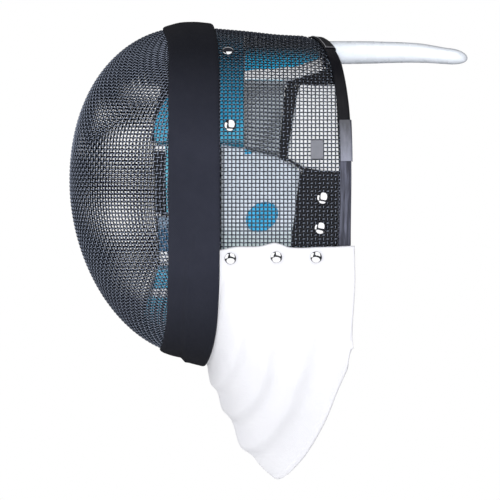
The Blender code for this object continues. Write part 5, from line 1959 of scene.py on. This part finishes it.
def aim_light(name, turn, height, roll, distance, data):
    """Puts a light at a turn and height seen from the picture's middle, aimed at it."""
    light = new_object(name, data)
    turn, height = math.radians(turn), math.radians(height)
    way = np.array([
        math.cos(height) * math.cos(turn), math.cos(height) * math.sin(turn), math.sin(height)
    ])
    light.location = np.array(VIEW_CENTRE) + distance * way
    aim = Euler((math.pi / 2 - height, 0.0, math.pi / 2 + turn)).to_matrix()
    light.rotation_euler = (aim @ Matrix.Rotation(math.radians(roll), 3, "Z")).to_euler()
    return light


def softbox(name, turn, height, roll, wide, tall, distance, share, brightness):
    """A flat white panel that covers a width and a tallness in degrees."""
    data = bpy.data.lights.new(name, "AREA")
    data.shape = "ELLIPSE" if name == "low_softbox" else "RECTANGLE"
    data.size = 2 * distance * math.tan(math.radians(wide / 2))
    data.size_y = 2 * distance * math.tan(math.radians(tall / 2))
    data.energy = share * brightness * math.pi * data.size * data.size_y
    light = aim_light(name, turn, height, roll, distance, data)
    light.visible_diffuse = name not in MIRRORED_ONLY


def plain_light(name, power, turn, height, distance, size):
    """A light that isn't mirrored, because a camera that stands in front of a light hides it."""
    data = bpy.data.lights.new(name, "AREA")
    data.energy, data.size = power, size
    aim_light(name, turn, height, 0.0, distance, data).visible_glossy = False


def build_studio(settings):
    """The table, the lights and the camera."""
    scene = bpy.context.scene
    scene.view_settings.view_transform = "Standard"
    studio_world(settings)
    table_disc(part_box("bib")[0].z - settings.table_drop, settings.table_radius)
    for panel in SOFTBOXES:
        softbox(*panel, settings.softbox)
    plain_light("front_light", settings.front, *FRONT_LIGHT)
    plain_light("far_light", settings.far, *FAR_LIGHT)
    data = bpy.data.cameras.new("camera")
    data.sensor_width = SENSOR_WIDTH * 1000.0
    data.lens = data.sensor_width * settings.camera_distance / settings.picture_width
    data.clip_start, data.clip_end = 0.05, 50.0
    camera = new_object("camera", data)
    camera.location = (settings.camera_distance, VIEW_CENTRE[1], VIEW_CENTRE[2])
    camera.rotation_euler = (math.pi / 2, 0.0, math.pi / 2)
    scene.camera = camera


# ================================================================ operators
class MASK_OT_studio(bpy.types.Operator):
    """Set up the floor, the lights and the camera"""

    bl_idname = "mask.studio"
    bl_label = "Studio"

    def execute(self, context):
        build_studio(context.scene.mask_studio)
        return {"FINISHED"}


class MASK_OT_face_wires(bpy.types.Operator):
    """Weave the face's bowl of wire cloth"""

    bl_idname = "mask.face_wires"
    bl_label = "Face wires"

    def execute(self, context):
        build_face_wires(context.scene.mask_wire)
        return {"FINISHED"}


class MASK_OT_side_wires(bpy.types.Operator):
    """Weave the wire sheet over the crown and the sides"""

    bl_idname = "mask.side_wires"
    bl_label = "Side wires"

    def execute(self, context):
        build_side_wires(context.scene.mask_wire)
        return {"FINISHED"}


class MASK_OT_trim(bpy.types.Operator):
    """Lay the padded tape over the seam of the two meshes"""

    bl_idname = "mask.trim"
    bl_label = "Trim tape"

    def execute(self, context):
        build_trim()
        return {"FINISHED"}


class MASK_OT_binding(bpy.types.Operator):
    """Bind the rear edge of the side mesh"""

    bl_idname = "mask.binding"
    bl_label = "Rear binding"

    def execute(self, context):
        build_rim()
        return {"FINISHED"}


class MASK_OT_binding_layers(bpy.types.Operator):
    """Add the binding's second layer on the crown and the sleeve on each side"""

    bl_idname = "mask.binding_layers"
    bl_label = "Binding layers"

    def execute(self, context):
        build_covers()
        return {"FINISHED"}


class MASK_OT_bib(bpy.types.Operator):
    """Hang the padded throat bib"""

    bl_idname = "mask.bib"
    bl_label = "Bib"

    def execute(self, context):
        build_bib(context.scene.mask_bib)
        return {"FINISHED"}


class MASK_OT_tongue(bpy.types.Operator):
    """Lay the tongue's steel strip and pull the soft sleeve over it"""

    bl_idname = "mask.tongue"
    bl_label = "Tongue"

    def execute(self, context):
        build_spring()
        build_sleeve()
        return {"FINISHED"}


class MASK_OT_side_lining(bpy.types.Operator):
    """Lay the pads, tapes, straps and patches that each side has one of"""

    bl_idname = "mask.side_lining"
    bl_label = "Side lining"

    def execute(self, context):
        build_paired_lining()
        build_cheek_discs()
        return {"FINISHED"}


class MASK_OT_arched_pads(bpy.types.Operator):
    """Lay the pads under the crown, over the forehead and under the chin"""

    bl_idname = "mask.arched_pads"
    bl_label = "Arched pads"

    def execute(self, context):
        build_arched_pads()
        return {"FINISHED"}


class MASK_OT_tag(bpy.types.Operator):
    """Add the small bare tag behind the left side mesh"""

    bl_idname = "mask.tag"
    bl_label = "Tag"

    def execute(self, context):
        build_tag()
        return {"FINISHED"}


class MASK_OT_rivets(bpy.types.Operator):
    """Set the domed rivets of both sides"""

    bl_idname = "mask.rivets"
    bl_label = "Rivets"

    def execute(self, context):
        build_rivets(context.scene.mask_rivets)
        return {"FINISHED"}


OPERATORS = (
    MASK_OT_studio, MASK_OT_face_wires, MASK_OT_side_wires, MASK_OT_trim, MASK_OT_binding,
    MASK_OT_binding_layers, MASK_OT_bib, MASK_OT_tongue, MASK_OT_side_lining,
    MASK_OT_arched_pads, MASK_OT_tag, MASK_OT_rivets,
)
SETTINGS = {
    "mask_wire": WireSettings, "mask_bands": BandSettings, "mask_bib": BibSettings,
    "mask_tongue": TongueSettings, "mask_lining": LiningSettings, "mask_rivets": RivetSettings,
    "mask_studio": StudioSettings,
}


class MASK_PT_pieces(bpy.types.Panel):
    """The mask's pieces and their settings."""

    bl_label = "Fencing mask"
    bl_space_type = "VIEW_3D"
    bl_region_type = "UI"
    bl_category = "Mask"

    def draw(self, context):
        for made in OPERATORS:
            self.layout.operator(made.bl_idname)
        for name in SETTINGS:
            settings = getattr(context.scene, name)
            box = self.layout.box()
            for key in settings.__annotations__:
                box.prop(settings, key)


def register():
    for made in (*SETTINGS.values(), *OPERATORS, MASK_PT_pieces):
        bpy.utils.register_class(made)
    for name, settings in SETTINGS.items():
        setattr(bpy.types.Scene, name, bpy.props.PointerProperty(type=settings))


def unregister():
    for name in SETTINGS:
        delattr(bpy.types.Scene, name)
    for made in reversed((*SETTINGS.values(), *OPERATORS, MASK_PT_pieces)):
        bpy.utils.unregister_class(made)


def main():
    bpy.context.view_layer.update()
    register()
    for made in OPERATORS:
        group, name = made.bl_idname.split(".")
        getattr(getattr(bpy.ops, group), name)()


if __name__ == "__main__":
    main()
